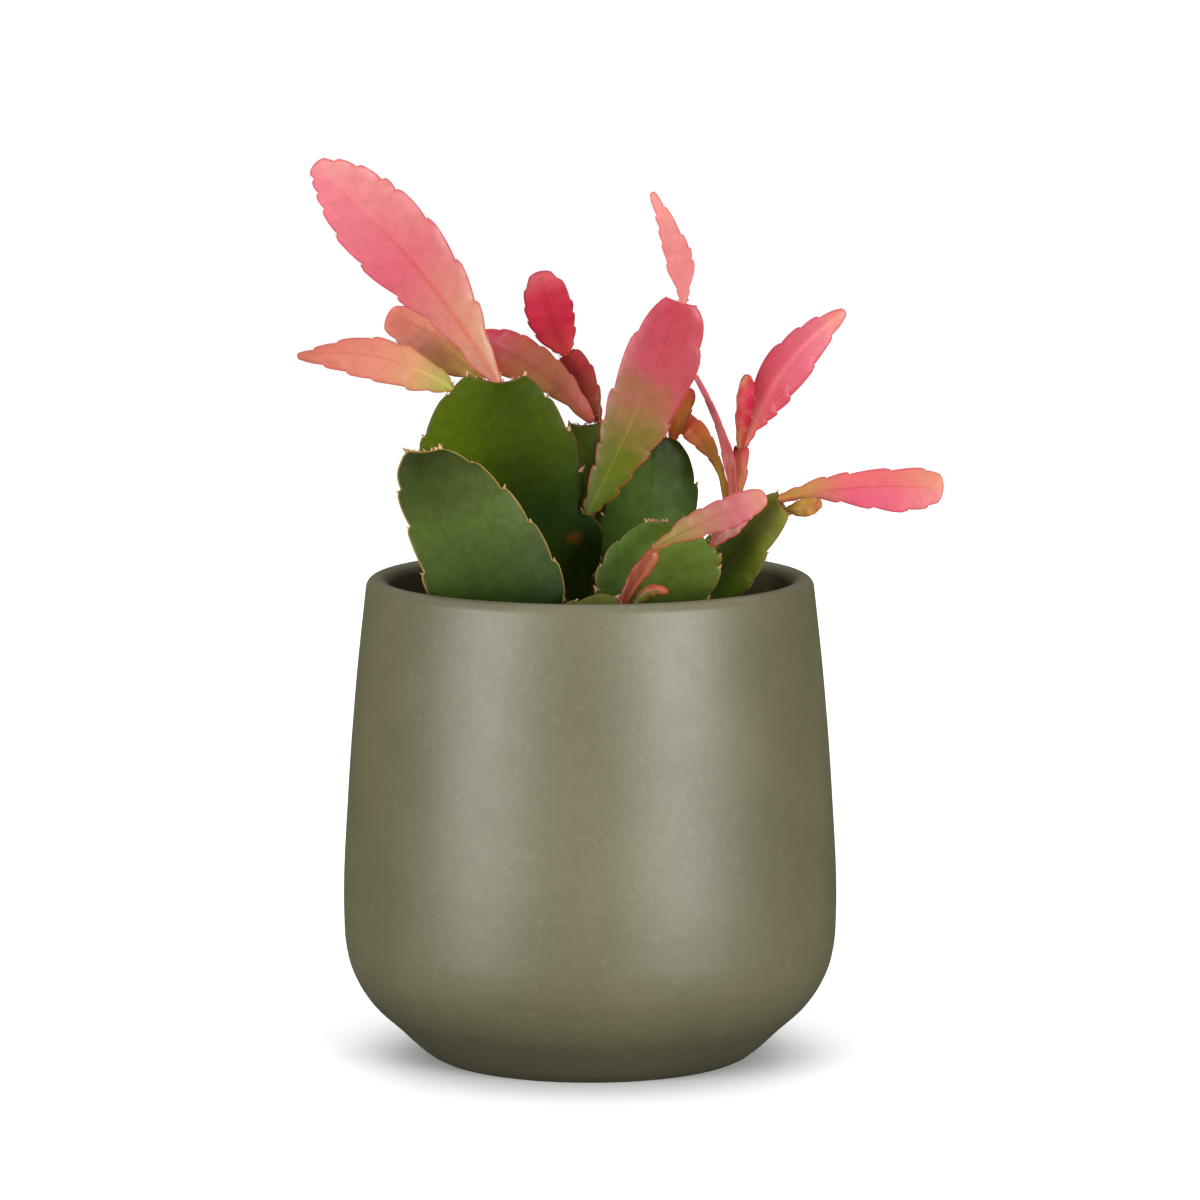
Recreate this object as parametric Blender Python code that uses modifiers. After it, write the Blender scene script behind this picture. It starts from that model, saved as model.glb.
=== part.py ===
"""A flat-stemmed rhipsalis in a turned ceramic pot.

Lengths are written in millimetres and turned into metres where a mesh is made.
The origin is the middle of the pot's foot, +Z is up, and the front looks along -Y.
Each flat stem segment is one solid: green pads that stand in the soil, and young
coloured shoots that grow from the notches and the cut-off tops of older segments.
"""

import math

import bmesh
import bpy
from mathutils import Vector

MM = 0.001
SEAT_GAP = 0.3  # left between pieces that touch on the real plant

# The pot
POT_STEPS = 44  # steps round, for the soil too, so that the two stay evenly apart
FOOT_RADIUS = 41.8
LIP_CENTRE_RADIUS = 55.9
LIP_CENTRE_HEIGHT = 123.8
LIP_ROUND = 2.95
WALL = 2 * LIP_ROUND
FLOOR = 7.0
POT_OUTER = [
    (0.0, FOOT_RADIUS), (3.0, 45.7), (8.0, 51.0), (14.0, 57.5), (20.0, 61.5), (26.0, 63.8),
    (33.0, 64.8), (42.0, 65.0), (70.0, 63.7), (100.0, 61.4), (123.8, 58.85),
]
POT_INNER = [(FLOOR, 44.0), (10.0, 48.5), (15.0, 53.0), (22.0, 56.6), (32.0, 58.7), (42.0, 59.1)]
INNER_WALL_FROM = 42.0
INSIDE_HEIGHTS = [FLOOR, 8.5, 11.5, 16.0, 24.0, 36.0, 57.0, 78.0, 99.0, 120.0]

# The soil
SOIL_TOP = 106.0
SOIL_DOME = 1.0
STEM_FOOT = 96.0
HOLE_RADIUS = 3.3
HOLE_BELOW = 0.4
HOLE_SIDES = 12

# The flat stems
CELLS_ACROSS = 4
SHOULDER = 0.92
LONG_STEM = 50.0
TOOTH_ROWS = (0.0, 0.3, 0.64, SHOULDER)
SMALL_TOOTH_ROWS = (0.0, 0.5, SHOULDER)
LAST_TOOTH_ROWS = (0.0, 0.35, 0.65, 0.85)
NECK_ROWS = 3

GREEN = (0.10, 0.20, 0.035)
DEEP_GREEN = (0.07, 0.15, 0.05)
OLIVE = (0.25, 0.23, 0.05)
ROSE = (0.62, 0.13, 0.13)
CORAL = (0.66, 0.22, 0.14)
CRIMSON = (0.50, 0.06, 0.09)
POT_COLOUR = (0.16, 0.155, 0.09)
SOIL_COLOUR = (0.035, 0.022, 0.014)


def smooth_value(pairs, x):
    """Value at x of a smooth curve through (x, value) pairs that never overshoots them."""
    xs = [pair[0] for pair in pairs]
    ys = [pair[1] for pair in pairs]
    rises = [(y1 - y0) / (x1 - x0) for x0, x1, y0, y1 in zip(xs, xs[1:], ys, ys[1:])]
    slopes = [rises[0]]
    for before, after in zip(rises, rises[1:]):
        slopes.append(0.0 if before * after <= 0 else 2 * before * after / (before + after))
    slopes.append(rises[-1])
    x = min(max(x, xs[0]), xs[-1])
    i = max(k for k in range(len(xs) - 1) if xs[k] <= x)
    width = xs[i + 1] - xs[i]
    f = (x - xs[i]) / width
    return (
        ys[i] * (1 + 2 * f) * (1 - f) ** 2
        + ys[i + 1] * f * f * (3 - 2 * f)
        + width * slopes[i] * f * (1 - f) ** 2
        + width * slopes[i + 1] * f * f * (f - 1)
    )


def directions(heading, face):
    """Unit directions along a stem, across it to the right, and out of its face."""
    along = heading.normalized()
    out = (face - along * face.dot(along)).normalized()
    return along, along.cross(out), out


class Stem:
    """One flat stem segment: an axis, a half width each side of it, and notched margins.

    t runs from 0 at the base to 1 at the tip. Left and right are as seen from the side
    that `face` points to. Half widths are (t, mm) pairs. A stem stands at `base`, or grows
    from `parent` at a notch ("left", 2) or from its top edge ("top", 0.3), just clear of it
    and moved by `lift`.
    """

    def __init__(self, name, tip, right, left=None, base=None, parent=None, at=None,
                 lift=(0, 0, 0), face=(0, -1, 0), bend=0.0, arch=0.0, cup=0.0,
                 start=0.12, teeth=5, skew=(0.93, 1.07), notches=None, depth=1.2, deep=None,
                 dip=0.0, slant=0.0, rib=2.0, edge=0.8, colour=GREEN):
        self.name = name
        self.tip = Vector(tip)
        self.widths = {"left": left or right, "right": right}
        self.cup = cup
        self.start = start
        self.depth = depth
        self.deep = deep or {}
        self.dip = dip
        self.rib = rib
        self.edge = edge
        self.slant = slant
        self.colour = colour
        if base:
            self.base = Vector(base)
        else:
            seat, outward = parent.seat(*at)
            _, side, out = directions(self.tip - seat, Vector(face))
            clear = SEAT_GAP + right[0][1] * abs(side.dot(outward)) + rib / 2 * abs(out.dot(outward))
            self.base = seat + outward * clear + Vector(lift)
        self.length = (self.tip - self.base).length
        _, side, self.face = directions(self.tip - self.base, Vector(face))
        self.middle = (self.base + self.tip) / 2 + 2 * bend * side + 2 * arch * self.face
        self.notches = notches or {
            label: [start + (1 - start) * (k / teeth) ** power for k in range(teeth)]
            for label, power in zip(("left", "right"), skew)
        }

    def axis(self, t):
        return self.base * (1 - t) ** 2 + self.middle * 2 * t * (1 - t) + self.tip * t * t

    def frame(self, t):
        """Directions along the stem, across it to the right, and out of its face at t."""
        heading = (self.middle - self.base) * (1 - t) + (self.tip - self.middle) * t
        return directions(heading, self.face)

    def point(self, t, across):
        """The point `across` millimetres to the right of the axis at t."""
        along, side, out = self.frame(t)
        return self.axis(t) + side * across + out * self.cup * abs(across)

    def half_width(self, label, t, u, extra=0.0):
        """Half width at t, where u runs from 0 at a notch to 1 at the next one."""
        full = smooth_value(self.widths[label], t)
        notch = min(self.depth + extra, 0.3 * full)
        return full - notch * (1 - min(u / SHOULDER, 1.0)) ** 2

    def stations(self, label):
        """(t, half width) of every row on one side, from the base to the tip."""
        found = []
        for k in range(NECK_ROWS):
            t = self.start * k / NECK_ROWS
            found.append((t, smooth_value(self.widths[label], t)))
        bounds = self.notches[label] + [1.0]
        rows = TOOTH_ROWS if self.length > LONG_STEM else SMALL_TOOTH_ROWS
        for k, (low, high) in enumerate(zip(bounds, bounds[1:])):
            last = k == len(bounds) - 2
            for u in LAST_TOOTH_ROWS if last else rows:
                t = low + (high - low) * u
                found.append((t, self.half_width(label, t, u, self.deep.get((label, k), 0.0))))
        found.append((1.0, smooth_value(self.widths[label], 1.0)))
        return found

    def top_point(self, across):
        """A point of the top edge, from -1 at its left corner to 1 at its right one."""
        full = smooth_value(self.widths["left" if across < 0 else "right"], 1.0)
        return self.point(1.0 - self.top_drop(across) / self.length, across * full)

    def top_drop(self, across):
        """How far the top edge lies below the tip, in millimetres."""
        return self.dip * (1 - across * across) + self.slant * across

    def side_point(self, label, t):
        """A point of the margin as it would be with no notches."""
        full = smooth_value(self.widths[label], t)
        return self.point(t, full if label == "right" else -full)

    def seat(self, where, which):
        """Where a younger stem grows, and the direction out of the margin there."""
        step = 0.02
        if where == "top":
            t = 1.0
            place = self.top_point(which)
            run = self.top_point(which + step) - self.top_point(which - step)
        else:
            t = self.notches[where][which]
            place = self.side_point(where, t)
            run = self.side_point(where, t - step) - self.side_point(where, t + step)
            if where == "left":
                run = -run
        return place, self.frame(t)[2].cross(run).normalized()

    def thickness_share(self, t, across):
        """0 at the thin margin, 1 along the midrib."""
        flat = 1 - abs(across) ** 1.6
        neck_end = max(self.start, 0.12)
        return flat if t > neck_end else max(flat, 1 - t / neck_end)

    def build(self, collection):
        left = self.stations("left")
        right = self.stations("right")
        rows = len(left) - 1
        mesh_data = bmesh.new()
        bmesh.ops.create_grid(mesh_data, x_segments=CELLS_ACROSS, y_segments=rows, size=1.0)
        weights = mesh_data.verts.layers.deform.verify()
        for vert in mesh_data.verts:
            across = round((vert.co.x + 1) / 2 * CELLS_ACROSS) / CELLS_ACROSS * 2 - 1
            row = round((vert.co.y + 1) / 2 * rows)
            t_edge, reach = left[row] if across < 0 else right[row]
            t_middle = (left[row][0] + right[row][0]) / 2
            t = t_middle + (t_edge - t_middle) * abs(across)
            near_top = max(0.0, (t - 0.85) / 0.15) ** 2
            t_low = t - near_top * self.top_drop(across) / self.length
            vert.co = self.point(t_low, across * reach) * MM
            vert[weights][0] = self.thickness_share(t, across)
        bmesh.ops.triangulate(mesh_data, faces=mesh_data.faces)
        mesh = bpy.data.meshes.new(self.name)
        mesh_data.to_mesh(mesh)
        mesh_data.free()
        stem = new_object(self.name, mesh, collection, self.colour, 0.45)
        stem.vertex_groups.new(name="thickness")
        solid = stem.modifiers.new("Thickness", 'SOLIDIFY')
        solid.thickness = self.rib * MM
        solid.offset = 0.0
        solid.vertex_group = "thickness"
        solid.thickness_vertex_group = self.edge / self.rib
        return stem


def new_object(name, mesh, collection, colour, roughness):
    thing = bpy.data.objects.new(name, mesh)
    collection.objects.link(thing)
    material = bpy.data.materials.new(name)
    material.use_nodes = True
    shader = material.node_tree.nodes["Principled BSDF"]
    shader.inputs["Base Color"].default_value = (*colour, 1.0)
    shader.inputs["Roughness"].default_value = roughness
    shader.inputs["Metallic"].default_value = 0.0
    mesh.materials.append(material)
    return thing


def turned(name, profile, steps, collection, colour, roughness):
    """A solid turned about Z from (radius, height) points that end on the axis."""
    mesh = bpy.data.meshes.new(name)
    points = [(radius * MM, 0.0, height * MM) for radius, height in profile]
    mesh.from_pydata(points, [(i, i + 1) for i in range(len(points) - 1)], [])
    thing = new_object(name, mesh, collection, colour, roughness)
    screw = thing.modifiers.new("Turn", 'SCREW')
    screw.axis = 'Z'
    screw.angle = math.tau
    screw.steps = steps
    screw.render_steps = steps
    screw.use_merge_vertices = True
    screw.merge_threshold = 0.00001
    screw.use_smooth_shade = True
    return thing


def inner_radius(height):
    if height <= INNER_WALL_FROM:
        return smooth_value(POT_INNER, height)
    return smooth_value(POT_OUTER, height) - WALL


def spaced(low, high, count):
    return [low + (high - low) * k / (count - 1) for k in range(count)]


def build_pot(collection):
    outside_heights = spaced(114.0, 44.0, 5) + [36.0, 30.0, 25.0, 20.0, 15.0, 10.0, 5.0, 0.7]
    profile = [(0.0, FLOOR)]
    profile += [(inner_radius(height), height) for height in INSIDE_HEIGHTS]
    for k in range(9):
        angle = math.pi * (1 - k / 8)
        profile.append((LIP_CENTRE_RADIUS + LIP_ROUND * math.cos(angle),
                        LIP_CENTRE_HEIGHT + LIP_ROUND * math.sin(angle)))
    profile += [(smooth_value(POT_OUTER, height), height) for height in outside_heights]
    profile += [(FOOT_RADIUS - 0.7, 0.0), (0.0, 0.0)]
    return turned("pot", profile, POT_STEPS, collection, POT_COLOUR, 0.45)


def build_soil(collection, cutters, standing):
    """Soil that fills the pot, with a plain hole for each stem that stands in it."""
    low = FLOOR + SEAT_GAP
    heights = [height for height in INSIDE_HEIGHTS if FLOOR < height < SOIL_TOP]
    profile = [(0.0, SOIL_TOP + SOIL_DOME), (28.0, SOIL_TOP + 0.7 * SOIL_DOME)]
    profile += [(inner_radius(SOIL_TOP) - 2.2, SOIL_TOP)]
    profile += [(inner_radius(SOIL_TOP) - 2 * SEAT_GAP, SOIL_TOP - 0.8)]
    profile += [(inner_radius(height) - SEAT_GAP, height) for height in reversed(heights)]
    profile += [(FOOT_RADIUS, low), (0.0, low)]
    soil = turned("soil", profile, POT_STEPS, collection, SOIL_COLOUR, 0.9)
    for stem in standing:
        cutter = build_hole(stem, cutters)
        cut = soil.modifiers.new("Hole for " + stem.name, 'BOOLEAN')
        cut.operation = 'DIFFERENCE'
        cut.object = cutter
    return soil


def build_hole(stem, cutters):
    along = (stem.axis(stem.start) - stem.base).normalized()
    low = stem.base - along * HOLE_BELOW
    length = (SOIL_TOP + SOIL_DOME + 4.0 - low.z) / along.z
    bpy.ops.mesh.primitive_cylinder_add(
        vertices=HOLE_SIDES, radius=HOLE_RADIUS * MM, depth=length * MM,
        location=(low + along * length / 2) * MM,
        rotation=along.to_track_quat('Z', 'Y').to_euler(),
    )
    cutter = bpy.context.object
    cutter.name = "hole_" + stem.name
    for collection in list(cutter.users_collection):
        collection.objects.unlink(cutter)
    cutters.objects.link(cutter)
    cutter.hide_render = True
    cutter.display_type = 'WIRE'
    return cutter


def pads():
    """The green pads that stand in the soil."""
    neck = [(0.0, 2.1), (0.175, 2.3)]
    front_left = Stem(
        "pad_front_left", base=(-14.0, -24.0, STEM_FOOT), tip=(-43.4, -26.5, 163.0),
        face=(0.05, -1, 0.12), arch=1.5, cup=-0.03, rib=3.0, edge=1.0, dip=0.6, slant=1.7,
        left=neck + [(0.23, 7.0), (0.34, 12.6), (0.5, 14.0), (0.7, 12.6), (0.86, 11.0),
                     (0.94, 9.0), (1.0, 3.8)],
        right=neck + [(0.23, 12.0), (0.33, 19.6), (0.44, 20.4), (0.6, 19.0), (0.74, 16.4),
                      (0.87, 12.2), (0.95, 8.0), (1.0, 4.8)],
        notches={"left": [0.15, 0.28, 0.43, 0.60, 0.77, 0.90],
                 "right": [0.15, 0.30, 0.45, 0.61, 0.76, 0.89]},
        depth=1.1, colour=DEEP_GREEN)
    left = Stem(
        "pad_left", base=(-11.2, -8.0, STEM_FOOT), tip=(-24.0, -6.0, 180.6),
        face=(0.0, -1, 0.05), arch=-1.0, cup=0.03, rib=3.2, edge=1.0, dip=2.2, slant=1.2,
        left=neck + [(0.22, 11.0), (0.34, 18.0), (0.5, 22.4), (0.7, 24.4), (0.83, 22.8),
                     (0.9, 19.0), (0.955, 14.4), (1.0, 8.0)],
        right=neck + [(0.22, 11.0), (0.30, 15.2), (0.40, 20.0), (0.48, 21.0), (0.55, 18.2),
                      (0.63, 18.4), (0.76, 17.7), (0.85, 14.8), (0.93, 11.6), (1.0, 7.2)],
        notches={"left": [0.15, 0.32, 0.50, 0.68, 0.85, 0.955],
                 "right": [0.15, 0.34, 0.545, 0.67, 0.80, 0.91]},
        depth=1.2, deep={("right", 2): 1.3}, colour=GREEN)
    back = Stem(
        "pad_back", base=(3.0, 18.0, STEM_FOOT), tip=(-0.8, 18.0, 165.4),
        face=(0.1, -1, 0), arch=-1.5, rib=3.0, edge=1.0, dip=0.8,
        right=neck + [(0.24, 9.0), (0.4, 13.4), (0.6, 14.6), (0.8, 12.8), (0.92, 8.8), (1.0, 4.8)],
        depth=1.2, colour=DEEP_GREEN)
    middle_right = Stem(
        "pad_middle_right", base=(11.4, 9.0, STEM_FOOT), tip=(17.6, 10.0, 163.4),
        face=(0.15, -1, 0), arch=1.0, cup=-0.12, rib=3.0, edge=1.0, dip=0.6, slant=1.0,
        right=neck + [(0.24, 7.5), (0.4, 11.4), (0.6, 13.0), (0.8, 12.6), (0.91, 9.8), (1.0, 5.4)],
        depth=1.2, colour=DEEP_GREEN)
    front_right = Stem(
        "pad_front_right", base=(15.5, -22.0, STEM_FOOT), tip=(17.0, -24.5, 144.3),
        face=(0.0, -1, 0.15), arch=1.0, cup=0.02, rib=2.8, edge=0.95, start=0.2,
        left=[(0.0, 2.1), (0.23, 2.4), (0.36, 8.6), (0.52, 14.0), (0.66, 15.6), (0.8, 13.4),
              (0.92, 8.4), (1.0, 2.4)],
        right=[(0.0, 2.1), (0.23, 2.4), (0.36, 8.0), (0.55, 13.8), (0.7, 17.0), (0.8, 17.6),
               (0.9, 14.0), (0.96, 10.0), (1.0, 3.0)],
        notches={"left": [0.2, 0.34, 0.48, 0.62, 0.76, 0.88],
                 "right": [0.2, 0.38, 0.59, 0.765, 0.835, 0.885]},
        depth=1.1, colour=GREEN)
    right = Stem(
        "pad_right", base=(22.0, -8.0, STEM_FOOT), tip=(50.4, -12.0, 147.6),
        face=(-0.766, -0.643, 0), bend=-5.5, rib=2.8, edge=0.95, dip=0.6, start=0.18,
        left=[(0.0, 2.1), (0.2, 2.4), (0.32, 7.0), (0.5, 11.6), (0.66, 12.4), (0.82, 9.8),
              (0.93, 6.4), (1.0, 4.0)],
        right=[(0.0, 2.1), (0.2, 2.4), (0.32, 4.6), (0.5, 8.2), (0.66, 9.8), (0.8, 8.0),
               (0.93, 6.2), (1.0, 4.0)],
        notches={"left": [0.18, 0.36, 0.52, 0.66, 0.785], "right": [0.18, 0.33, 0.49, 0.645, 0.8]},
        depth=1.1, colour=GREEN)
    low_front = Stem(
        "pad_low_front", base=(-18.0, -33.0, STEM_FOOT), tip=(7.6, -34.0, 123.6),
        face=(0, -1, 0.1), bend=-6.5, rib=2.2, edge=0.9, start=0.3, teeth=3,
        right=[(0.0, 1.8), (0.33, 2.0), (0.48, 4.2), (0.7, 5.4), (0.9, 4.4), (1.0, 2.2)],
        depth=1.0, colour=GREEN)
    return [front_left, left, back, middle_right, front_right, right, low_front]


def shoots(grown):
    """The young coloured stems, each on the notch or the top edge that it grows from."""
    stem = {pad.name: pad for pad in grown}

    def add(name, on, at, **values):
        stem[name] = Stem(name, parent=stem[on], at=at, **values)

    add("shoot_left_tall", "pad_left", ("top", 0.0), lift=(-1.3, 0.0, 0.0),
        tip=(-70.9, -16.0, 235.8), bend=2.9, arch=-2.0, cup=-0.03, rib=1.8, edge=0.8,
        left=[(0.0, 1.6), (0.05, 3.2), (0.1, 4.3), (0.17, 5.0), (0.25, 5.9), (0.33, 7.6),
              (0.44, 9.7), (0.6, 11.3), (0.74, 10.7), (0.85, 8.4), (0.93, 5.6), (0.975, 3.4),
              (1.0, 1.4)],
        right=[(0.0, 1.6), (0.08, 3.4), (0.16, 5.6), (0.28, 7.9), (0.41, 9.9), (0.59, 11.0),
               (0.75, 10.2), (0.87, 8.0), (0.95, 5.0), (1.0, 1.6)],
        start=0.15,
        notches={"left": [0.15, 0.3, 0.435, 0.615, 0.765, 0.865, 0.92, 0.965],
                 "right": [0.155, 0.255, 0.41, 0.585, 0.73, 0.79, 0.885, 0.955]},
        depth=0.95, colour=ROSE)
    add("shoot_left_low", "pad_left", ("left", 5), lift=(1.9, 0.0, 1.7),
        tip=(-75.9, -12.0, 185.7), face=(0, -1, 0.2), bend=3.9, rib=1.7, edge=0.75,
        left=[(0.0, 1.6), (0.05, 3.0), (0.13, 4.6), (0.23, 5.8), (0.33, 6.1), (0.51, 6.4),
              (0.64, 5.8), (0.77, 4.5), (0.9, 2.8), (1.0, 0.8)],
        right=[(0.0, 1.6), (0.05, 2.7), (0.13, 3.8), (0.23, 4.4), (0.33, 5.2), (0.51, 5.3),
               (0.64, 4.4), (0.77, 3.1), (0.9, 1.6), (1.0, 0.7)],
        start=0.115,
        notches={"left": [0.115, 0.255, 0.51, 0.69, 0.845], "right": [0.14, 0.37, 0.54, 0.757, 0.9]},
        depth=0.6, colour=CORAL)
    add("shoot_left_back", "pad_left", ("top", -0.62), lift=(-1.0, 2.3, -0.8),
        tip=(-53.0, 10.0, 195.0), face=(0, -1, 0.3), bend=1.6, rib=1.6, edge=0.75, teeth=4,
        left=[(0.0, 1.4), (0.08, 3.6), (0.2, 6.2), (0.4, 7.6), (0.6, 7.2), (0.85, 5.9),
              (0.95, 4.6), (1.0, 2.4)],
        right=[(0.0, 1.4), (0.12, 2.9), (0.35, 4.9), (0.6, 5.4), (0.85, 4.2), (0.95, 2.8),
               (1.0, 1.4)],
        start=0.2, depth=0.5, colour=CORAL)
    add("shoot_back_curved", "pad_back", ("top", -0.1), lift=(1.3, -0.9, 0.3),
        tip=(-30.5, 8.0, 188.8), face=(0, -1, 0.2), bend=2.8, rib=1.6, edge=0.75, teeth=6,
        left=[(0.0, 1.4), (0.1, 2.3), (0.2, 2.9), (0.35, 3.7), (0.5, 4.3), (0.7, 4.9),
              (0.85, 4.3), (0.94, 2.8), (1.0, 1.2)],
        right=[(0.0, 1.4), (0.1, 2.7), (0.2, 3.7), (0.3, 4.7), (0.42, 5.4), (0.55, 5.9),
               (0.7, 6.0), (0.85, 4.8), (0.94, 3.2), (1.0, 1.2)],
        start=0.18, depth=0.5, colour=CORAL)
    add("shoot_back_dark", "pad_back", ("top", 0.62), lift=(0.0, 0.9, 0.0),
        tip=(-6.3, 21.0, 183.4), face=(0, -1, 0.1), bend=0.8, rib=1.6, edge=0.75, teeth=3,
        left=[(0.0, 1.0), (0.14, 2.2), (0.4, 3.9), (0.7, 4.3), (0.92, 3.6), (1.0, 2.4)],
        right=[(0.0, 1.0), (0.14, 2.2), (0.4, 3.5), (0.55, 3.9), (0.7, 4.3), (0.92, 3.6), (1.0, 2.4)],
        start=0.2, depth=0.5, dip=0.5, colour=CRIMSON)
    add("shoot_back_crimson", "shoot_back_dark", ("top", 0.0),
        tip=(-13.4, 19.0, 205.3), face=(0.1, -1, 0), bend=-0.4, cup=0.12, rib=1.6, edge=0.75,
        left=[(0.0, 1.6), (0.06, 3.2), (0.16, 4.8), (0.3, 6.1), (0.5, 6.9), (0.65, 6.6),
              (0.8, 5.6), (0.94, 3.4), (1.0, 1.4)],
        right=[(0.0, 1.6), (0.06, 3.0), (0.16, 4.3), (0.3, 5.3), (0.55, 6.3), (0.8, 5.5),
               (0.94, 3.3), (1.0, 1.4)],
        start=0.1,
        notches={"left": [0.1, 0.32, 0.5, 0.66, 0.85], "right": [0.1, 0.25, 0.42, 0.575, 0.875]},
        depth=0.5, colour=CRIMSON)
    add("shoot_middle", "pad_left", ("right", 2), lift=(-1.7, -1.9, -0.7),
        tip=(23.5, -18.0, 200.5), bend=0.8, arch=1.5, cup=-0.05, rib=1.9, edge=0.8,
        left=[(0.0, 1.5), (0.04, 2.6), (0.1, 3.6), (0.22, 4.8), (0.39, 7.2), (0.52, 8.4),
              (0.7, 8.9), (0.81, 8.5), (0.91, 6.9), (1.0, 4.3)],
        right=[(0.0, 1.5), (0.05, 3.4), (0.1, 4.8), (0.2, 6.0), (0.3, 7.4), (0.4, 9.1),
               (0.5, 9.9), (0.6, 10.1), (0.73, 10.7), (0.84, 9.8), (0.94, 7.7), (1.0, 4.4)],
        start=0.06,
        notches={"left": [0.06, 0.2, 0.3, 0.4, 0.545, 0.815],
                 "right": [0.06, 0.145, 0.23, 0.345, 0.49, 0.835]},
        depth=0.9, dip=0.3, slant=-0.25, colour=ROSE)
    add("shoot_middle_top", "shoot_middle", ("top", 0.1),
        tip=(16.0, -14.0, 228.4), face=(0.1, -1, 0), bend=2.0, cup=0.2, rib=1.5, edge=0.75,
        left=[(0.0, 1.0), (0.12, 2.4), (0.3, 3.7), (0.5, 3.7), (0.75, 2.7), (0.93, 1.6), (1.0, 0.7)],
        right=[(0.0, 1.0), (0.12, 2.4), (0.3, 3.7), (0.42, 3.6), (0.55, 2.7), (0.75, 1.7),
               (0.93, 0.9), (1.0, 0.7)],
        start=0.1,
        notches={"left": [0.1, 0.34, 0.53, 0.67, 0.8], "right": [0.1, 0.33, 0.435, 0.56, 0.84]},
        depth=0.5, colour=CORAL)
    add("shoot_gold", "pad_middle_right", ("top", 0.85), lift=(-0.1, -0.6, 0.0),
        tip=(26.3, 5.0, 175.7), cup=0.15, rib=1.6, edge=0.75, teeth=2,
        left=[(0.0, 1.2), (0.12, 2.4), (0.3, 3.7), (0.5, 4.1), (0.7, 3.4), (0.88, 2.2), (1.0, 0.9)],
        right=[(0.0, 1.2), (0.15, 2.2), (0.45, 2.4), (0.7, 2.5), (0.88, 2.1), (1.0, 0.9)],
        start=0.3, depth=0.4, colour=OLIVE)
    add("shoot_right_bent", "pad_right", ("left", 4), lift=(-0.9, -0.1, 0.4),
        tip=(22.3, 13.5, 167.4), face=(-0.2, -1, 0), bend=3.8, rib=1.6, edge=0.75, teeth=4,
        right=[(0.0, 1.0), (0.2, 1.2), (0.4, 1.4), (0.6, 2.6), (0.78, 3.3), (0.93, 2.9),
               (1.0, 1.8)],
        start=0.3, depth=0.4, colour=CORAL)
    add("shoot_right_thin", "pad_right", ("left", 4), lift=(0.7, -2.5, 0.5),
        tip=(27.4, 2.0, 179.5), face=(-0.2, -1, 0), bend=2.4, cup=0.3, rib=1.3, edge=0.75, teeth=4,
        left=[(0.0, 0.8), (0.2, 1.2), (0.37, 1.5), (0.52, 1.1), (0.8, 0.9), (1.0, 0.7)],
        right=[(0.0, 0.8), (0.2, 1.7), (0.37, 2.1), (0.52, 1.4), (0.74, 1.0), (1.0, 0.7)],
        start=0.2, depth=0.2, colour=ROSE)
    add("shoot_right_stem", "pad_right", ("left", 4), lift=(2.0, 0.1, 0.5),
        tip=(39.4, 0.5, 161.0), rib=1.6, edge=0.75, teeth=2,
        left=[(0.0, 0.9), (0.2, 1.2), (0.6, 1.8), (0.9, 1.9), (1.0, 1.7)],
        right=[(0.0, 0.9), (0.2, 1.4), (0.6, 2.3), (0.9, 2.4), (1.0, 1.9)],
        start=0.3, depth=0.4, dip=0.3, colour=CORAL)
    add("shoot_right_bud", "shoot_right_stem", ("top", -0.4), lift=(0.3, -1.0, 0.0),
        tip=(40.9, -2.5, 180.1), face=(0.3, -1, 0), cup=0.5, rib=1.5, edge=0.75, teeth=3,
        right=[(0.0, 0.9), (0.12, 1.5), (0.4, 2.4), (0.75, 2.6), (0.93, 1.6), (1.0, 0.7)],
        start=0.2, depth=0.35, colour=CRIMSON)
    add("shoot_right_tall", "shoot_right_stem", ("top", 0.6), lift=(0.2, 0.6, 0.0),
        tip=(66.7, 4.0, 196.1), bend=-3.6, rib=1.7, edge=0.75,
        left=[(0.0, 1.0), (0.1, 2.4), (0.25, 4.5), (0.5, 5.8), (0.75, 4.5), (0.93, 2.3), (1.0, 0.9)],
        right=[(0.0, 1.0), (0.1, 2.6), (0.2, 4.5), (0.34, 6.0), (0.5, 6.5), (0.62, 6.2),
               (0.75, 4.9), (0.93, 2.5), (1.0, 0.9)],
        start=0.09,
        notches={"left": [0.09, 0.2, 0.34, 0.6, 0.745, 0.86],
                 "right": [0.09, 0.165, 0.245, 0.375, 0.64, 0.85]},
        depth=0.65, colour=ROSE)
    add("shoot_far_right", "pad_right", ("top", -0.3),
        tip=(91.6, -18.0, 152.0), face=(0, -1, 0.1), bend=-1.5, rib=1.7, edge=0.75,
        left=[(0.0, 1.2), (0.1, 2.6), (0.23, 3.7), (0.4, 4.3), (0.67, 4.8), (0.87, 5.0),
              (0.96, 3.8), (1.0, 1.9)],
        right=[(0.0, 1.2), (0.1, 1.5), (0.2, 1.9), (0.32, 3.5), (0.53, 5.8), (0.72, 6.9),
               (0.9, 5.6), (0.97, 3.8), (1.0, 1.9)],
        start=0.12,
        notches={"left": [0.12, 0.28, 0.42, 0.675, 0.885], "right": [0.12, 0.345, 0.555, 0.785, 0.915]},
        depth=0.65, colour=ROSE)
    add("shoot_far_right_bud", "pad_right", ("top", 0.8),
        tip=(60.0, -20.0, 148.4), face=(0, -1, 0.3), bend=0.3, rib=1.4, edge=0.75, teeth=2,
        right=[(0.0, 0.8), (0.12, 1.7), (0.3, 2.4), (0.6, 2.6), (0.83, 1.9), (1.0, 0.8)],
        start=0.3, depth=0.2, colour=OLIVE)
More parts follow.
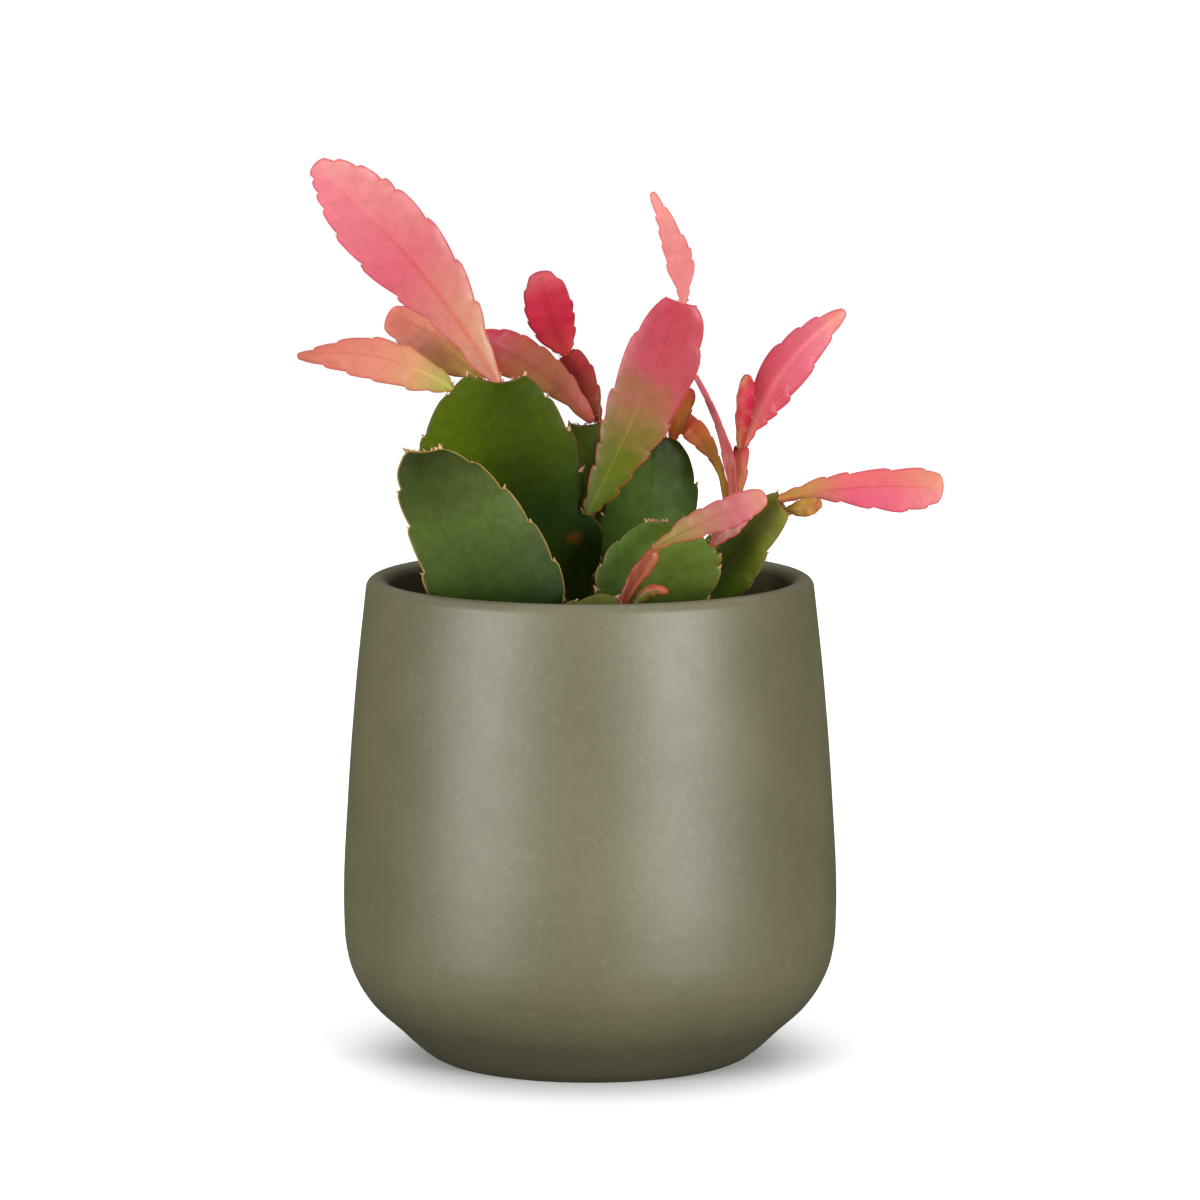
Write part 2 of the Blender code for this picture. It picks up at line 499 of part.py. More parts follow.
    add("shoot_front_stem", "pad_low_front", ("top", 0.0),
        tip=(16.7, -34.0, 138.0), face=(0.2, -1, 0), rib=1.6, edge=0.75,
        left=[(0.0, 1.3), (0.2, 2.4), (0.4, 2.9), (0.6, 2.8), (0.8, 2.2), (1.0, 1.3)],
        right=[(0.0, 1.0), (0.2, 1.2), (0.5, 1.4), (0.62, 2.5), (0.85, 2.3), (1.0, 1.4)],
        start=0.12, notches={"left": [0.3, 0.67], "right": [0.12, 0.6]}, depth=0.3, colour=CRIMSON)
    add("shoot_front", "shoot_front_stem", ("top", 0.0),
        tip=(45.2, -38.0, 152.2), face=(0, -1, 0.2), bend=-0.7, rib=1.6, edge=0.75,
        left=[(0.0, 1.0), (0.1, 1.7), (0.3, 3.5), (0.5, 3.8), (0.8, 3.8), (0.92, 3.1), (1.0, 1.4)],
        right=[(0.0, 1.0), (0.1, 1.6), (0.3, 3.1), (0.5, 4.0), (0.65, 4.7), (0.8, 4.3),
               (0.91, 3.3), (1.0, 1.4)],
        start=0.16,
        notches={"left": [0.16, 0.33, 0.47, 0.635, 0.82], "right": [0.16, 0.41, 0.6, 0.73, 0.84]},
        depth=0.45, colour=ROSE)
    add("shoot_front_back", "pad_front_right", ("right", 5),
        tip=(40.8, -22.0, 146.3), face=(0, -1, 0.2), bend=-0.5, rib=1.5, edge=0.75, teeth=2,
        right=[(0.0, 1.1), (0.2, 2.2), (0.5, 3.1), (0.8, 2.7), (1.0, 1.0)],
        start=0.3, depth=0.35, colour=CORAL)
    add("shoot_front_hook", "shoot_front_stem", ("right", 0), lift=(0.5, -0.8, 0.0),
        tip=(20.1, -39.0, 127.5), face=(0, -1, 0.2), bend=-1.7, rib=1.4, edge=0.75, teeth=2,
        right=[(0.0, 0.8), (0.25, 1.8), (0.6, 1.7), (0.85, 1.3), (1.0, 0.5)],
        start=0.3, depth=0.2, colour=CRIMSON)
    return [shoot for shoot in stem.values() if shoot not in grown]


def main():
    for thing in list(bpy.data.objects):
        bpy.data.objects.remove(thing, do_unlink=True)
    plant = bpy.data.collections.new("potted_rhipsalis")
    cutters = bpy.data.collections.new("cutters")
    bpy.context.scene.collection.children.link(plant)
    bpy.context.scene.collection.children.link(cutters)
    standing = pads()
    stems = standing + shoots(standing)
    build_pot(plant)
    build_soil(plant, cutters, standing)
    for stem in stems:
        stem.build(plant)


main()
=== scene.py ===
import math

import bpy
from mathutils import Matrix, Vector, noise


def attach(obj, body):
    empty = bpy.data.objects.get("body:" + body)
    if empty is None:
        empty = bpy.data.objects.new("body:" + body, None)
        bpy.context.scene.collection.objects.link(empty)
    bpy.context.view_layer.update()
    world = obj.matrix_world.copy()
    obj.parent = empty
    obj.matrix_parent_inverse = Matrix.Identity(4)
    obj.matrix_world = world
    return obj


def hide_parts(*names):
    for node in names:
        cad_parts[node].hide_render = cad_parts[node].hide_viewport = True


# Potted rhipsalis: flat notched stems, green below and red where they are young, in a turned pot.
# Lengths in the dictionaries are in millimetres and colours are screen values from 0 to 255.

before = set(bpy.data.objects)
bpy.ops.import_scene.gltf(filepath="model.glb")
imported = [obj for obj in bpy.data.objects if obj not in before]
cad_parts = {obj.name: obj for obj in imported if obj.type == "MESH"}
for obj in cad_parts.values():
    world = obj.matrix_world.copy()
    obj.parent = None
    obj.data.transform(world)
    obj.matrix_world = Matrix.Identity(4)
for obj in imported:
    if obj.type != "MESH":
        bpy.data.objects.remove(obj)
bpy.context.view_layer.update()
mm = 0.001
print("frame loaded:", len(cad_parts), "nodes")


# small helpers

def screen(colour):  # screen colour to the linear one that a shader takes
    return tuple((c / 255) ** 2.2 for c in colour) + (1.0,)


wiring = {"tree": None}  # the tree that newMaterial or newTree made last, which the helpers add to


def connect(node, sockets):  # a socket is linked, and anything else is set as the value
    for key, value in sockets.items():
        if isinstance(value, bpy.types.NodeSocket):
            node.id_data.links.new(value, node.inputs[key])
        else:
            node.inputs[key].default_value = value


def addNode(kind, sockets, **settings):
    node = wiring["tree"].nodes.new(kind)
    for key, value in settings.items():
        setattr(node, key, value)
    connect(node, sockets)
    return node.outputs


def feed(kind, sockets=None, **settings):  # the first output of a new node
    return addNode(kind, sockets or {}, **settings)[0]


def calc(operation, first, second=0.0):
    return feed('ShaderNodeMath', {0: first, 1: second}, operation=operation)


def times(first, *others):
    for other in others:
        first = calc('MULTIPLY', first, other)
    return first


def plus(first, second):
    return calc('ADD', first, second)


def swing(value, reach):  # from a value around a half to one around zero
    return times(calc('SUBTRACT', value, 0.5), reach)


def measure(operation, *places):
    return addNode('ShaderNodeVectorMath', dict(enumerate(places)), operation=operation)["Value"]


def ramp(value, low, high, toLow=0.0, toHigh=1.0):  # soft step from low to high
    sockets = {"Value": value, "From Min": low, "From Max": high, "To Min": toLow, "To Max": toHigh}
    return feed('ShaderNodeMapRange', sockets, interpolation_type='SMOOTHSTEP')


def mix(amount, first, second, how='MIX'):
    sockets = {0: amount, 6: first, 7: second}
    return addNode('ShaderNodeMix', sockets, data_type='RGBA', blend_type=how)[2]


def grey(value):
    return feed('ShaderNodeCombineColor', {0: value, 1: value, 2: value})


def grain(coords, scale, detail=3.0, rough=0.5):
    sockets = {"Vector": coords, "Scale": scale, "Detail": detail, "Roughness": rough}
    return addNode('ShaderNodeTexNoise', sockets)["Fac"]


def bump(strength, distance, height, under=None):
    sockets = {"Strength": strength, "Distance": distance, "Height": height}
    if under is not None:
        sockets["Normal"] = under
    return feed('ShaderNodeBump', sockets)


def colourRamp(value, stops):  # a stop is its place and the three parts of its colour
    band = wiring["tree"].nodes.new('ShaderNodeValToRGB')
    connect(band, {0: value})
    elements = band.color_ramp.elements
    while len(elements) < len(stops):
        elements.new(0.5)
    for element, (place, *colour) in zip(elements, stops):
        element.position = place
        element.color = screen(colour)
    return band.outputs[0]


def newMaterial(name, roughness, specular):
    material = bpy.data.materials.new(name)
    material.use_nodes = True
    wiring["tree"] = material.node_tree
    shader = material.node_tree.nodes["Principled BSDF"]
    connect(shader, {"Roughness": roughness, "Specular IOR Level": specular})
    return material, shader, addNode('ShaderNodeTexCoord', {})["Object"]


def newPiece(name, mesh):
    piece = bpy.data.objects.new(name, mesh)
    bpy.context.scene.collection.objects.link(piece)
    return piece


def newTree(name, sockets):  # a Geometry Nodes tree with named inputs
    tree = wiring["tree"] = bpy.data.node_groups.new(name, 'GeometryNodeTree')
    tree.interface.new_socket("Geometry", in_out='OUTPUT', socket_type='NodeSocketGeometry')
    for label, kind in {"Geometry": 'Geometry', **sockets, "Finish": 'Material'}.items():
        tree.interface.new_socket(label, in_out='INPUT', socket_type='NodeSocket' + kind)
    return tree.nodes.new('NodeGroupInput').outputs


def finishTree(geometry, given):  # the nodes that every tree ends with
    realized = feed('GeometryNodeRealizeInstances', {"Geometry": geometry})
    painted = feed('GeometryNodeSetMaterial', {"Geometry": realized, "Material": given["Finish"]})
    connect(wiring["tree"].nodes.new('NodeGroupOutput'), {"Geometry": painted})
    return wiring["tree"]


def runTree(name, source, tree, values):  # the tree's result as a plain mesh object
    step = source.modifiers.new(tree.name, 'NODES')
    step.node_group = tree
    inputs = {item.name: item.identifier for item in tree.interface.items_tree if item.in_out == 'INPUT'}
    for label, value in values.items():
        step[inputs[label]] = value
    evaluated = source.evaluated_get(bpy.context.evaluated_depsgraph_get())
    made = newPiece(name, bpy.data.meshes.new_from_object(evaluated))
    bpy.data.objects.remove(source)
    return made


def smoothValue(pairs, x):  # smooth curve through (x, value) pairs that never overshoots them
    xs, ys = zip(*pairs)
    rises = [(y1 - y0) / (x1 - x0) for x0, x1, y0, y1 in zip(xs, xs[1:], ys, ys[1:])]
    slopes = [rises[0]]
    for before, after in zip(rises, rises[1:]):
        slopes.append(0.0 if before * after <= 0 else 2 * before * after / (before + after))
    slopes.append(rises[-1])
    x = min(max(x, xs[0]), xs[-1])
    i = max(k for k in range(len(xs) - 1) if xs[k] <= x)
    width = xs[i + 1] - xs[i]
    f = (x - xs[i]) / width
    return (ys[i] * (1 + 2 * f) * (1 - f) ** 2 + ys[i + 1] * f * f * (3 - 2 * f)
            + width * slopes[i] * f * (1 - f) ** 2 + width * slopes[i + 1] * f * f * (f - 1))


def soften(x):
    x = min(max(x, 0.0), 1.0)
    return x * x * (3 - 2 * x)


def circle(degrees):
    return math.cos(math.radians(degrees)), math.sin(math.radians(degrees))


def spaced(low, high, count):
    return [low + (high - low) * k / (count - 1) for k in range(count)]


# pot, turned from its profile

pot = {
    "footRadius": 41.8, "footRound": 0.7, "footLean": 0.96, "footTurns": (20, 45, 70, 90), "floor": 7.0,
    "flatRadii": [15.0, 30.0], "lipRadius": 55.9, "lipHeight": 123.8, "lipRound": 2.95, "lipSteps": 18,
    "outer": [(0.0, 41.8), (3.0, 45.7), (8.0, 51.0), (14.0, 57.5), (20.0, 61.5), (26.0, 63.8),
              (33.0, 64.8), (42.0, 65.0), (70.0, 63.7), (100.0, 61.4), (123.8, 58.85)],
    "inner": [(7.0, 44.0), (10.0, 48.5), (15.0, 53.0), (22.0, 56.6), (32.0, 58.7), (42.0, 59.1)],
    "insideRows": [(7.0, 42.0, 18), (46.0, 121.0, 22)],
    "outsideRows": [(120.0, 44.0, 24), (41.0, 0.7, 27)],
    "stepsRound": 160, "weld": 0.02,
    "glaze": (74, 71, 50), "glazeDark": (69, 66, 46), "glazeLight": (90, 87, 66),
    # shadeFrom to shadeTo, with the foot factor, is painted shade that darkens the glaze toward the foot
    "shadeFrom": 3.0, "shadeTo": 28.0, "footTone": 0.68, "roughness": 0.49, "roughSpread": 0.03,
    "cloudScale": 26.0, "fleckScale": 420.0, "sheenScale": 90.0, "fineScale": 700.0, "slowScale": 55.0,
}


def turningTree():  # turns a profile of points about Z
    given = newTree("turnOnWheel", {"Steps Round": 'Int', "Weld": 'Float'})
    points = addNode('GeometryNodeAttributeDomainSize', {"Geometry": given["Geometry"]})["Point Count"]
    rows = addNode('GeometryNodeMeshGrid', {
        "Size X": 1.0, "Size Y": 1.0, "Vertices X": points,
        "Vertices Y": plus(given["Steps Round"], 1.0)})["Mesh"]
    position = feed('GeometryNodeInputPosition')
    place = addNode('ShaderNodeSeparateXYZ', {0: position})
    along = times(plus(place["X"], 0.5), calc('SUBTRACT', points, 1.0))
    profile = feed('GeometryNodeSampleIndex', {
        "Geometry": given["Geometry"], "Value": position, "Index": calc('ROUND', along)},
        data_type='FLOAT_VECTOR')
    turned = feed('ShaderNodeVectorRotate', {
        "Vector": profile, "Angle": times(plus(place["Y"], 0.5), math.tau)},
        rotation_type='Z_AXIS')
    moved = feed('GeometryNodeSetPosition', {"Geometry": rows, "Position": turned})
    closed = feed('GeometryNodeMergeByDistance', {"Geometry": moved, "Distance": given["Weld"]})
    return finishTree(feed('GeometryNodeSetShadeSmooth', {"Geometry": closed}), given)


def turnedPiece(name, points, stepsRound, finish):  # points are (radius, height), from the axis and back
    mesh = bpy.data.meshes.new(name)
    places = [(radius * mm, 0.0, height * mm) for radius, height in points]
    mesh.from_pydata(places, [(i, i + 1) for i in range(len(places) - 1)], [])
    values = {"Steps Round": stepsRound, "Weld": pot["weld"] * mm, "Finish": finish}
    return runTree(name, newPiece(name + "_profile", mesh), wheel, values)


def innerRadius(height):
    if height <= pot["inner"][-1][0]:
        return smoothValue(pot["inner"], height)
    return smoothValue(pot["outer"], height) - 2 * pot["lipRound"]


def potProfile():
    points = [(radius, pot["floor"]) for radius in [0.0] + pot["flatRadii"]]
    points += [(innerRadius(height), height) for rows in pot["insideRows"] for height in spaced(*rows)]
    for k in range(pot["lipSteps"] + 1):
        lean, reach = circle(180 * (1 - k / pot["lipSteps"]))
        points.append((pot["lipRadius"] + pot["lipRound"] * lean, pot["lipHeight"] + pot["lipRound"] * reach))
    points += [(smoothValue(pot["outer"], height), height)
               for rows in pot["outsideRows"] for height in spaced(*rows)]
    for lean, reach in map(circle, pot["footTurns"]):  # the small round at the foot's edge
        points.append((pot["footRadius"] - pot["footRound"] * pot["footLean"] * (1 - lean),
                       pot["footRound"] * (1 - reach)))
    return points + [(radius, 0.0) for radius in pot["flatRadii"][::-1] + [0.0]]


def glazeMaterial():
    material, shader, coords = newMaterial("satinGlaze", pot["roughness"], 0.5)
    clouds = ramp(grain(coords, pot["cloudScale"]), 0.35, 0.68)
    colour = mix(clouds, screen(pot["glazeDark"]), screen(pot["glaze"]))
    flecks = ramp(grain(coords, pot["fleckScale"], 4.0, 0.65), 0.5, 0.78, 0.0, 0.35)
    colour = mix(flecks, colour, screen(pot["glazeLight"]))
    height = addNode('ShaderNodeSeparateXYZ', {0: coords})["Z"]
    # painted shade: the glaze darkens toward the foot, where the pot turns under away from the light
    foot = ramp(height, pot["shadeFrom"] * mm, pot["shadeTo"] * mm, pot["footTone"], 1.0)
    sheen = ramp(grain(coords, pot["sheenScale"], 4.0), 0.3, 0.7, pot["roughness"],
                 pot["roughness"] + pot["roughSpread"])
    fine = bump(0.12, 0.0004, grain(coords, pot["fineScale"], 4.0, 0.6))
    slow = bump(0.008, 0.002, grain(coords, pot["slowScale"], 2.0), fine)
    connect(shader, {"Base Color": mix(1.0, colour, grey(foot), 'MULTIPLY'),
                     "Roughness": sheen, "Normal": slow})
    return material


wheel = turningTree()
potPiece = turnedPiece("pot_turned", potProfile(), pot["stepsRound"], glazeMaterial())
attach(potPiece, "root")
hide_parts("pot")
print("pot turned:", len(potPiece.data.polygons), "faces")


# soil

soil = {
    "top": 106.0, "dome": 1.0, "gap": 0.3, "edgeClear": 1.2, "topRows": 44, "sideRows": (104.0, 12.0, 24),
    "lowRows": [9.5, 8.0], "stepsRound": 120, "lumpHeight": 1.6, "lumpSize": 9.0, "crumbHeight": 0.7,
    "crumbSize": 2.6, "grainsPerSquareMetre": 260000, "grainSize": 0.95, "grainShape": (0.55, 0.42, 0.34),
    "smallest": 0.35, "largest": 1.25, "seed": 11,
    "colour": (52, 38, 27), "dry": (86, 66, 48), "wet": (28, 20, 14),
}


def soilProfile():
    rim = innerRadius(soil["top"]) - soil["edgeClear"]
    points = [(radius, soil["top"] + soil["dome"] * (1 - (radius / rim) ** 2))
              for radius in spaced(0.0, rim, soil["topRows"])]
    points += [(innerRadius(height) - soil["gap"], height)
               for height in spaced(*soil["sideRows"]) + soil["lowRows"]]
    return points + [(radius, pot["floor"] + soil["gap"]) for radius in (pot["footRadius"], 0.0)]


def soilMaterial(name, shades, bumpSize):
    material, shader, coords = newMaterial(name, 0.9, 0.25)
    patches = ramp(grain(coords, 380.0, 5.0, 0.6), 0.36, 0.66)
    colour = mix(patches, screen(soil[shades[0]]), screen(soil[shades[1]]))
    dry = ramp(grain(coords, 1400.0), 0.58, 0.72, 0.0, 0.7)
    connect(shader, {"Base Color": mix(dry, colour, screen(soil[shades[2]])),
                     "Normal": bump(0.6, bumpSize, grain(coords, 1500.0, 5.0, 0.7))})
    return material


def lumps(size, height):  # up and down by a noise of lumps of one size
    sockets = {"Scale": calc('DIVIDE', 1.0, size), "Detail": 2.0}
    return swing(addNode('ShaderNodeTexNoise', sockets)["Fac"], height)


def lumpTree():  # pushes the soil's top up and down, and leaves its sides alone
    given = newTree("lumpySoil", {
        "Top": 'Float', "Edge": 'Float', "Lump Size": 'Float', "Lump Height": 'Float',
        "Crumb Size": 'Float', "Crumb Height": 'Float'})
    place = addNode('ShaderNodeSeparateXYZ', {0: feed('GeometryNodeInputPosition')})
    flat = feed('ShaderNodeCombineXYZ', {"X": place["X"], "Y": place["Y"]})
    onTop = calc('GREATER_THAN', place["Z"], given["Top"])
    inside = ramp(calc('SUBTRACT', given["Edge"], measure('LENGTH', flat)), 0.0, 0.004)
    height = plus(lumps(given["Lump Size"], given["Lump Height"]),
                  lumps(given["Crumb Size"], given["Crumb Height"]))
    lift = feed('ShaderNodeCombineXYZ', {"Z": times(height, times(onTop, inside))})
    moved = feed('GeometryNodeSetPosition', {"Geometry": given["Geometry"], "Offset": lift})
    return finishTree(moved, given)


def crumbTree():  # scatters rough crumbs over the soil's top
    given = newTree("soilCrumbs", {
        "Top": 'Float', "Density": 'Float', "Crumb Size": 'Float', "Seed": 'Int'})
    height = addNode('ShaderNodeSeparateXYZ', {0: feed('GeometryNodeInputPosition')})["Z"]
    spread = addNode('GeometryNodeDistributePointsOnFaces', {
        "Mesh": given["Geometry"], "Density": given["Density"], "Seed": given["Seed"],
        "Selection": calc('GREATER_THAN', height, given["Top"])})["Points"]
    crumb = feed('GeometryNodeMeshIcoSphere', {"Radius": given["Crumb Size"], "Subdivisions": 1})
    squashed = feed('GeometryNodeTransform', {"Geometry": crumb, "Scale": soil["grainShape"]})
    turn = feed('FunctionNodeRandomValue', {
        0: (0.0, 0.0, 0.0), 1: (math.tau, math.tau, math.tau), "Seed": given["Seed"]},
        data_type='FLOAT_VECTOR')
    size = addNode('FunctionNodeRandomValue', {
        2: soil["smallest"], 3: soil["largest"], "Seed": given["Seed"]}, data_type='FLOAT')[1]
    placed = feed('GeometryNodeInstanceOnPoints', {
        "Points": spread, "Instance": squashed, "Rotation": turn, "Scale": size})
    return finishTree(placed, given)


soilFinish = soilMaterial("dampSoil", ("wet", "colour", "dry"), 0.0012)
soilPiece = turnedPiece("soil_plain", soilProfile(), soil["stepsRound"], soilFinish)
soilPiece = runTree("soil_filling", soilPiece, lumpTree(), {
    "Top": (soil["top"] - 0.5) * mm, "Edge": innerRadius(soil["top"]) * mm,
    "Lump Size": soil["lumpSize"] * mm, "Lump Height": soil["lumpHeight"] * mm,
    "Crumb Size": soil["crumbSize"] * mm, "Crumb Height": soil["crumbHeight"] * mm,
    "Finish": soilFinish})
crumbs = runTree("soil_crumbs", newPiece("crumbSource", soilPiece.data.copy()), crumbTree(), {
    "Top": (soil["top"] - 0.9) * mm, "Density": soil["grainsPerSquareMetre"],
    "Crumb Size": soil["grainSize"] * mm, "Seed": soil["seed"],
    "Finish": soilMaterial("soilCrumb", ("wet", "dry", "colour"), 0.0004)})
for piece in (soilPiece, crumbs):
    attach(piece, "root")
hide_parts("soil")
print("soil laid:", len(crumbs.data.polygons), "crumb faces")


# stems: where they stand and how their outline runs

stemDefaults = {
    "face": (0, -1, 0), "bend": 0, "arch": 0, "cup": 0, "lift": (0, 0, 0), "joint": 0.5, "start": 0.3,
    "teeth": 5, "skew": (0.93, 1.07), "depth": 0.5, "deep": {}, "dip": 0, "slant": 0,
    "rib": 1.6, "edge": 0.75, "ripple": 0.22, "scaleSize": 0.55,
    # the side and centre factors on the next line paint light and shade into the skin's colour
    "shine": 0.2, "sideTone": (1, 1), "centreTone": 1, "leftTint": (1, 1, 1), "rightTint": (1, 1, 1),
    "tintSoft": 0.45, "drift": 0.12, "colourSlope": 0, "mottle": 0.05, "fibre": 0, "veins": 0.1, "marks": [],
    "midribLow": (1.3, 1.32, 1.1), "midribHigh": (0.8, 0.66, 0.72), "midribTurn": 0.5, "midribShow": 0.8,
    "midribWidth": 0.42, "marginShow": 0.5, "marginWidth": 1.1,
}
padLook = {
    "start": 0.12, "depth": 1.1, "rib": 3, "edge": 1, "ripple": 0.08, "glow": 0.02, "midribShow": 0,
    "veins": 0.05, "fibre": 0.22, "mottle": 0.12, "marginWidth": 0.75, "scaleSize": 1,
}
slotLooks = {
    "green_pad": {**padLook, "margin": (96, 70, 44), "vein": (22, 30, 8), "shine": 0.06, "marginShow": 0.55},
    "deep_green_pad": {**padLook, "margin": (88, 68, 44), "vein": (24, 32, 12), "shine": 0.04},
    "rose_shoot": {"margin": (148, 46, 58), "vein": (140, 44, 52), "glow": 0.12, "scaleSize": 0.5},
    "coral_shoot": {"margin": (148, 60, 54), "vein": (112, 48, 34), "glow": 0.12},
    "crimson_shoot": {"margin": (106, 24, 32), "vein": (84, 18, 24), "glow": 0.1},
    "olive_shoot": {"margin": (118, 60, 38), "vein": (70, 38, 16), "glow": 0.08},
}
blade = {
    "neckRows": 8, "neckFrom": 0.12, "shoulder": 0.92, "notchShare": 0.3,
    "toothPoint": 0.28, "pointAt": 0.93, "pointWidth": 0.035, "stepWidth": 0.07,
    "toothRows": [0.0, 0.1, 0.22, 0.36, 0.5, 0.64, 0.76, 0.86, 0.91, 0.94, 0.97],
    "lastRows": [0.0, 0.12, 0.25, 0.38, 0.5, 0.6, 0.7, 0.78, 0.85, 0.9, 0.94, 0.97],
    "wideColumns": [0.0, 0.03, 0.07, 0.14, 0.24, 0.36, 0.5, 0.64, 0.76, 0.86, 0.93, 0.975, 1.0],
    "narrowColumns": [0.0, 0.12, 0.3, 0.5, 0.7, 0.85, 0.95, 1.0], "wideFrom": 8,
    "endTurns": [25, 50, 70, 85], "cutOffFrom": 2.0, "endApart": 0.004, "topShare": 0.15,
    "seatGap": 0.3, "jointLeast": 0.4, "jointDeep": 0.7, "fullness": 2.2,
    "ridge": 0.1, "ridgeWidth": 0.7, "ridgeRise": 0.2, "ridgeFall": 0.1,
    "swayScale": 0.055, "swaySeed": 0.37, "swayGain": 1.6, "swayPower": 1.4,
}


def directions(heading, face):  # along a stem, across it to the right, and out of its face
    along = heading.normalized()
    out = (face - along * face.dot(along)).normalized()
    return along, along.cross(out), out


def stemFrame(stem, t):
    heading = (stem["middle"] - stem["foot"]) * (1 - t) + (stem["end"] - stem["middle"]) * t
    return directions(heading, stem["facing"])


def stemPoint(stem, t, across):
    axis = stem["foot"] * (1 - t) ** 2 + stem["middle"] * 2 * t * (1 - t) + stem["end"] * t * t
    along, side, out = stemFrame(stem, t)
    full = smoothValue(stem["left" if across < 0 else "right"], t)
    return axis + side * across + out * stem["cup"] * across * across / full


def topDrop(stem, across):  # how far a cut-off top lies below the tip
    return stem["dip"] * (1 - across * across) + stem["slant"] * across


def topPoint(stem, across):
    full = smoothValue(stem["left" if across < 0 else "right"], 1.0)
    return stemPoint(stem, 1.0 - topDrop(stem, across) / stem["length"], across * full)


def marginPoint(stem, side, t):
    full = smoothValue(stem[side], t)
    return stemPoint(stem, t, full if side == "right" else -full)


def notchDepth(stem, side, number, full):
    return min(stem["depth"] + stem["deep"].get((side, number), 0.0), blade["notchShare"] * full)


def seatOf(stem, where, which):  # where a younger stem grows, and the way out of the margin there
    if where == "top":
        t = 1.0
        place = topPoint(stem, which)
        run = topPoint(stem, which + 0.02) - topPoint(stem, which - 0.02)
    else:
        t = stem["notches"][where][which]
        place = marginPoint(stem, where, t)
        run = marginPoint(stem, where, t - 0.02) - marginPoint(stem, where, t + 0.02)
        run = -run if where == "left" else run
    return place, stemFrame(stem, t)[2].cross(run).normalized()


def placeStem(given, grown):
    stem = {**stemDefaults, **slotLooks[given["slot"]], **given}
    stem["left"] = stem.get("left", stem["right"])
    stem["end"] = Vector(stem["tip"])
    face = Vector(stem["face"])
    if "base" in stem:
        stem["foot"] = Vector(stem["base"])
    else:
        seat, outward = seatOf(grown[stem["on"]], *stem["at"])
        along, side, out = directions(stem["end"] - seat, face)
        clear = (blade["seatGap"] + stem["right"][0][1] * abs(side.dot(outward))
                 + stem["rib"] / 2 * abs(out.dot(outward)))
        stem["foot"] = seat + outward * clear + Vector(stem["lift"])
        stem["joint"] = max(blade["jointLeast"], (stem["foot"] - seat).dot(along)) + blade["jointDeep"]
    stem["length"] = (stem["end"] - stem["foot"]).length
    along, side, stem["facing"] = directions(stem["end"] - stem["foot"], face)
    halfway = (stem["foot"] + stem["end"]) / 2
    stem["middle"] = halfway + side * 2 * stem["bend"] + stem["facing"] * 2 * stem["arch"]
    start, teeth = stem["start"], stem["teeth"]
    if "notches" not in stem:
        stem["notches"] = {
            side: [start + (1 - start) * (k / teeth) ** power for k in range(teeth)]
            for side, power in zip(("left", "right"), stem["skew"])}
    return stem


def marginRows(stem, side):  # (t, half width, how much the notch takes off it, place in the tooth)
    bounds = stem["notches"][side] + [1.0]
    rows = []
    for k in range(blade["neckRows"]):
        share = k / blade["neckRows"]
        full = smoothValue(stem[side], bounds[0] * share)
        rows.append((bounds[0] * share, full, notchDepth(stem, side, 0, full) * soften(share * 2 - 1), 0.0))
    for k, (low, high) in enumerate(zip(bounds, bounds[1:])):
        last = k == len(bounds) - 2
        for u in blade["lastRows"] if last else blade["toothRows"]:
            t = low + (high - low) * u
            full = smoothValue(stem[side], t)
            taken = notchDepth(stem, side, k, full) * (1 - min(u / blade["shoulder"], 1.0)) ** 2
            if not last:
                past = u - blade["pointAt"]
                point = math.exp(-(past / blade["pointWidth"]) ** 2)
                taken -= blade["toothPoint"] * min(1.0, full / 6) * point
                taken += notchDepth(stem, side, k + 1, full) * soften(past / blade["stepWidth"])
            rows.append((t, full, taken, u))
    return rows + [(1.0, smoothValue(stem[side], 1.0), 0.0, 0.0)]


def bladeRows(stem):  # a left and a right (t, half width, taken off, place in the tooth), and a thickness
    rows = [(left, right, 1.0) for left, right in zip(marginRows(stem, "left"), marginRows(stem, "right"))]
    length = stem["length"]
    footWidths = [edge[1] for edge in rows[0][:2]]
    tipWidths = [edge[1] for edge in rows[-1][:2]]
    cutOff = stem["dip"] > 0 or min(tipWidths) > blade["cutOffFrom"]
    capFrom = 1.0 - sum(tipWidths) / 2 / length
    inset = stem["edge"] / 2
    starts, ends = [], []
    for turn in [0] + blade["endTurns"]:
        lean, reach = circle(turn)
        thick = 0.0 if turn == blade["endTurns"][-1] else lean
        t = (footWidths[0] * (1 - reach) - stem["joint"]) / length
        starts.insert(0, (*[(t, width * lean, 0.0, 0.0) for width in footWidths], thick))
        if cutOff:
            t = 1.0 - inset * (1 - reach) / length
            widths = [width - inset * (1 - lean) for width in tipWidths]
        else:
            t = 1.0 - (1.0 - capFrom) * (1 - reach)
            widths = [smoothValue(stem[side], capFrom) * lean for side in ("left", "right")]
        ends.append((*[(t, width, 0.0, 0.0) for width in widths], thick))
    low, high = max(starts[-1][0][0], 0.0), ends[0][0][0] - blade["endApart"]
    return starts + [row for row in rows if row[0][0] > low and max(row[0][0], row[1][0]) < high] + ends


